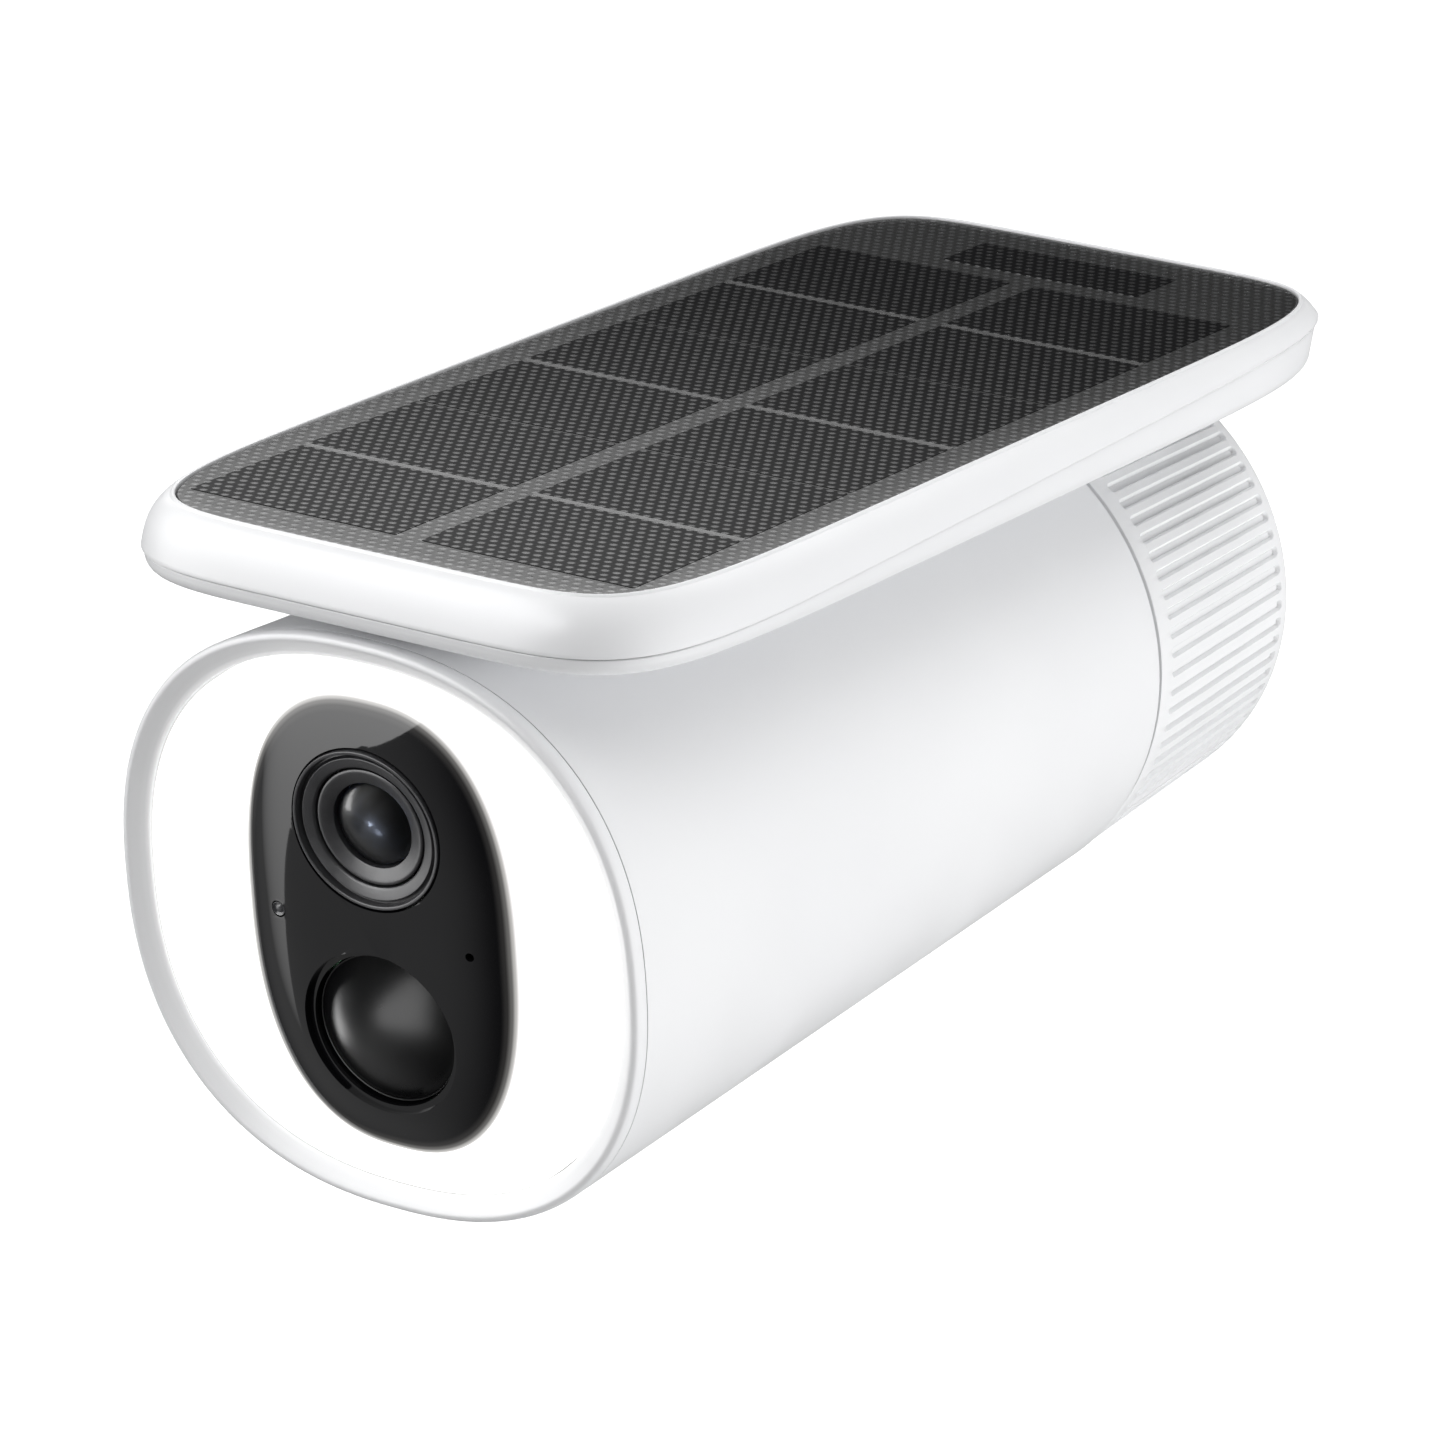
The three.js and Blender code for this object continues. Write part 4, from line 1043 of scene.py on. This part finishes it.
def build_panel_tray():
    """White tray below the trim, with a drafted wall and a rounded bottom edge."""
    def top(y):
        return parting_depth(y) + 0.12

    def lip(y):
        return flare(parting_depth(y)) - 0.4

    def edge(degrees):
        def station(y):
            radius = min(TRAY_EDGE, 0.85 * (PANEL_DEPTH - top(y)))
            draft = 0.12 * (PANEL_DEPTH - radius - top(y))
            angle = radians(degrees)
            return (lip(y) - draft - radius * (1 - cos(angle)),
                    PANEL_DEPTH - radius * (1 - sin(angle)))
        return station

    section = fixed((None, PANEL_DEPTH))
    section += [edge(degrees) for degrees in spaced(90, 0, 9)]
    section += [lambda y: (lip(y), top(y) + 0.2), lambda y: (lip(y) - 0.06, top(y) + 0.05),
                lambda y: (lip(y) - 0.22, top(y)), lambda y: (-0.1, top(y))]
    floor = PANEL_DEPTH - TRAY_WALL
    section += fixed((-0.1, 2.0), (-2.4, 2.0), (-2.4, floor), (None, floor))
    tray = around_panel("bottom_tray", section, closed=False)
    piece(tray, "panel_plastic", ["panel_tray"], "solar_head")


def build_sheet():
    """Dark cover sheet with a rounded edge."""
    section = fixed((None, 0), (-3, 0), (-0.5, 0), (-0.2, 0.05), (-0.05, 0.2), (0.0, 0.4),
                    (0.0, 1.0), (None, 1.0))
    sheet = around_panel("cover_sheet", section, closed=False)
    piece(sheet, "solar_film", ["solar_sheet"], "solar_head")


def flat_field(name, x0, y0, x1, y1, look="cell_dark", slot=None, top=0.07, corner=0.4):
    """Thin field standing just proud of the cover sheet."""
    centre = shift((x0 + x1) / 2, (y0 + y1) / 2, 0) @ LAID_FLAT
    points = box_outline((x1 - x0) / 2, (y1 - y0) / 2, corner, 3)
    field = slab(name, points, -0.1, top, 0.05, PANEL @ centre)
    piece(field, look, (), "solar_head")


def build_cells():
    """Two columns of six cells, the narrow cell behind them, and the ribbons between rows."""
    inner = CELL_COLUMN_GAP / 2
    narrow_gap, ribbon_gap = 0.3, 0.7
    number = 0
    for row in range(6):
        front = CELL_FIRST_ROW + row * CELL_PITCH
        front_gap = ribbon_gap if row % 2 else narrow_gap
        rear_gap = narrow_gap if row % 2 else ribbon_gap
        for side in (-1, 1):
            number += 1
            x0, x1 = sorted((side * inner, side * (inner + CELL_WIDTH)))
            flat_field(f"cell_{number}", x0, front + front_gap, x1, front + CELL_PITCH - rear_gap)
            if row % 2:
                hand = "left" if side < 0 else "right"
                flat_field(f"ribbon_{number // 2}_{hand}", x0, front - RIBBON_HALF, x1,
                           front + RIBBON_HALF, "ribbon", "solar_film", 0.05, 0.1)
    flat_field("cell_13", *NARROW_CELL)


def build_arm():
    """Foot between the grip ring and the tray, hollowed to the ring."""
    place = PANEL @ shift(0, ARM_Y - PANEL_Y, 0) @ LAID_FLAT
    outline_points = box_outline(ARM_HALF_WIDTH, ARM_HALF_LENGTH, 5, 10)
    foot = slab("arm_foot", outline_points, -22, -(PANEL_DEPTH + 0.05), 0.02, place)
    gap, front, back = 0.12, -60, 10
    cone = turned("cut_cone", [
        (0, front), (grip_radius(front) + gap, front), (grip_radius(back) + gap, back), (0, back),
    ], around=180, radius=0)
    cut(foot, cone)
    bevel(foot, 0.35, 3)
    piece(foot, "white_plastic", ["panel_arm"], "solar_head")


# ---- carried-over CAD nodes


def dress_cad_nodes():
    """CAD nodes that stay shown take the look of their slot."""
    slots = {part["node"]: part["material_slot"] for part in frame["record"]["subparts"]}
    for name, node in frame["nodes"].items():
        if not node.hide_render:
            dress(node, slots[name])


# ---- stage


def build_floor():
    """Pale floor well below the object, which hangs. It neither lights it nor mirrors in it."""
    bm = bmesh.new()
    corners = [(-6, -0.8), (6, -0.8), (6, 12), (-6, 12)]
    bm.faces.new([bm.verts.new((x, y, -1.2)) for x, y in corners])
    floor = mesh_object("floor", bm)
    shader = Shader("floor", grey(0.9), 0.8, emission_color=grey(1), emission_strength=0.6)
    floor.data.materials.append(shader.mottle(2, grey(0.88)).material)
    configure(floor, visible_diffuse=False, visible_glossy=False)


def reflector(name, edge_middle, aim, along, half_length, width, low, high):
    """Glowing card that faces aim and only shows in reflections. One straight edge runs through
    edge_middle; its strength goes from low to high along its length. All in metres."""
    middle = Vector(edge_middle)
    long_axis = Vector(along).normalized()
    out = (middle - Vector(aim)).normalized()
    across = out.cross(long_axis).normalized()
    if across.x > 0:
        across = -across
    bm = bmesh.new()
    corners = [(0, -1), (0, 1), (1, 1), (1, -1)]
    spots = [middle + across * width * a + long_axis * half_length * b for a, b in corners]
    bm.faces.new([bm.verts.new(spot) for spot in spots])
    card = mesh_object(name, bm)
    material = bpy.data.materials.new(name)
    material.use_nodes = True
    nodes = Nodes(material.node_tree)
    nodes.tree.nodes.clear()
    place = nodes.node("ShaderNodeTexCoord").outputs["Object"]
    dot = nodes.node("ShaderNodeVectorMath", {0: place, 1: long_axis}, operation="DOT_PRODUCT")
    centre = middle.dot(long_axis)
    strength = nodes.between(dot.outputs["Value"], centre - half_length, centre + half_length,
                             low, high, "LINEAR")
    emission = nodes.node("ShaderNodeEmission", {"Strength": strength}).outputs[0]
    nodes.node("ShaderNodeOutputMaterial", {"Surface": emission})
    card.data.materials.append(material)
    return configure(card, visible_camera=False, visible_diffuse=False, visible_shadow=False)


def soft_box(name, place, aim, size, radiance, glossy=True, diffuse=True):
    """Rectangular soft light. place, aim and size are in metres."""
    power = radiance * pi * size[0] * size[1]
    data = configure(bpy.data.lights.new(name, "AREA"), shape="RECTANGLE", size=size[0],
                     size_y=size[1], energy=power)
    heading = (Vector(aim) - Vector(place)).to_track_quat("-Z", "Y").to_euler()
    return configure(add_object(name, data), location=place, rotation_euler=heading,
                     visible_camera=False, visible_glossy=glossy, visible_diffuse=diffuse)


def light_link(light, names, state):
    """Makes a light reach only some pieces, or every piece but those."""
    receivers = bpy.data.collections.new(f"{light.name}_receivers")
    for name in names:
        receivers.objects.link(bpy.data.objects[name])
    for entry in receivers.collection_objects:
        entry.light_linking.link_state = state
    light.light_linking.receiver_collection = receivers


def build_world():
    """White to the eye, a soft white tent as a light, and a darker studio in reflections."""
    world = bpy.data.worlds.new("studio")
    world.use_nodes = True
    bpy.context.scene.world = world
    nodes = Nodes(world.node_tree)
    nodes.tree.nodes.clear()
    direction = nodes.node("ShaderNodeTexCoord").outputs["Generated"]
    x, y, z = nodes.node("ShaderNodeSeparateXYZ", {0: direction}).outputs

    below = nodes.between(z, -1, 0, TENT_BELOW, TENT_LEVEL)
    above = nodes.between(z, 0.45, 1, 0, TENT_ABOVE - TENT_LEVEL)
    tent = nodes.maths("ADD", below, above)
    to_left = nodes.between(x, 0.2, -0.7, 0, 0.55)
    to_front = nodes.between(y, 0.2, -0.4, 0, 1)
    level = nodes.maths("ADD", nodes.maths("MULTIPLY", to_left, to_front), 0.05)
    studio = nodes.maths("ADD", level, nodes.between(z, 0.5, 0.9, 0, 0.3))

    path = nodes.node("ShaderNodeLightPath").outputs
    bounced = nodes.maths("MAXIMUM", path["Is Glossy Ray"], path["Is Transmission Ray"])
    shown = background(nodes, tent)
    for share, strength in ((bounced, studio), (path["Is Camera Ray"], 1.0)):
        mix = {"Fac": share, 1: shown, 2: background(nodes, strength)}
        shown = nodes.node("ShaderNodeMixShader", mix).outputs[0]
    nodes.node("ShaderNodeOutputWorld", {"Surface": shown})


def background(nodes, strength):
    """White background of a fixed or worked-out strength."""
    return nodes.node("ShaderNodeBackground", {"Color": grey(1), "Strength": strength}).outputs[0]


def build_lights():
    """Two soft boxes light the body. The other lights and cards only show in reflections."""
    body = (0, -0.1, 0)
    soft_box("left", (-0.75, -1.15, 0.1), body, (1.2, 1.2), 2.15, glossy=False)
    soft_box("right", (1.1, 0.2, -0.42), body, (1.1, 1.1), 4.4, glossy=False)
    reflector("sheen_card", (0.15, 0.05, 0.18), (0.15, -0.19, 0.18), (0, 0, 1), 0.09, 0.6, 0.0, 5.0)
    face = (0, FACE_Y * MM, 0)
    slant = (0.656, 0, 0.755)
    face_card = reflector("face_card", (-0.435, -0.75, -0.272), face, slant, 0.9, 1.6, 0.6, 7.5)
    dome, glass = ["motion_dome"], ["front_element", "second_element"]
    light_link(face_card, ["motion_dome", "front_element"], "EXCLUDE")
    sky_blue = (0.66, 0.76, 1.0)
    for name, place, aim, size, radiance, colour, seen_by in (
            ("dome_light", (-0.13, -1.2, -0.06), (0, -0.18, 0), (0.9, 0.9), 3.6, None, dome),
            ("rim_light", (-0.95, -0.13, -0.3), face, (0.5, 0.7), 6, None, dome),
            ("lens_glint", (-0.90, -0.58, 0.14), face, (0.9, 0.9), 8.5, None, glass),
            ("pupil_glint", (-0.443, -0.977, -0.415), face, (0.08, 0.08), 52, sky_blue, glass),
            ("pupil_haze", (-0.274, -0.96, -0.58), face, (0.13, 0.13), 14, sky_blue, glass)):
        light = soft_box(name, place, aim, size, radiance, diffuse=False)
        if colour:
            light.data.color = colour
        light_link(light, seen_by, "INCLUDE")


def build_camera():
    """Camera where the photo's camera stood."""
    data = configure(bpy.data.cameras.new("camera"), lens=189.763, sensor_width=36,
                     clip_start=0.05, clip_end=50)
    heading = [radians(a) for a in (70.60741746, -1.77581737, 31.52910496)]
    bpy.context.scene.camera = configure(add_object("camera", data), rotation_euler=heading,
                                         location=(0.4967567, -0.93311182, 0.34456294))


build_body()
build_bezel()
build_diffuser()
build_plate()
build_lens_ring()
build_lens_cup()
build_lens_glass()
build_motion_lens()
build_sensor_window()
build_grip()
build_cap()
build_cap_screws()
build_insert()
build_flap()
build_port()
build_panel_frame()
build_panel_tray()
build_sheet()
build_cells()
build_arm()
dress_cad_nodes()
build_floor()
build_world()
build_lights()
build_camera()
bpy.context.scene.view_settings.view_transform = "Standard"
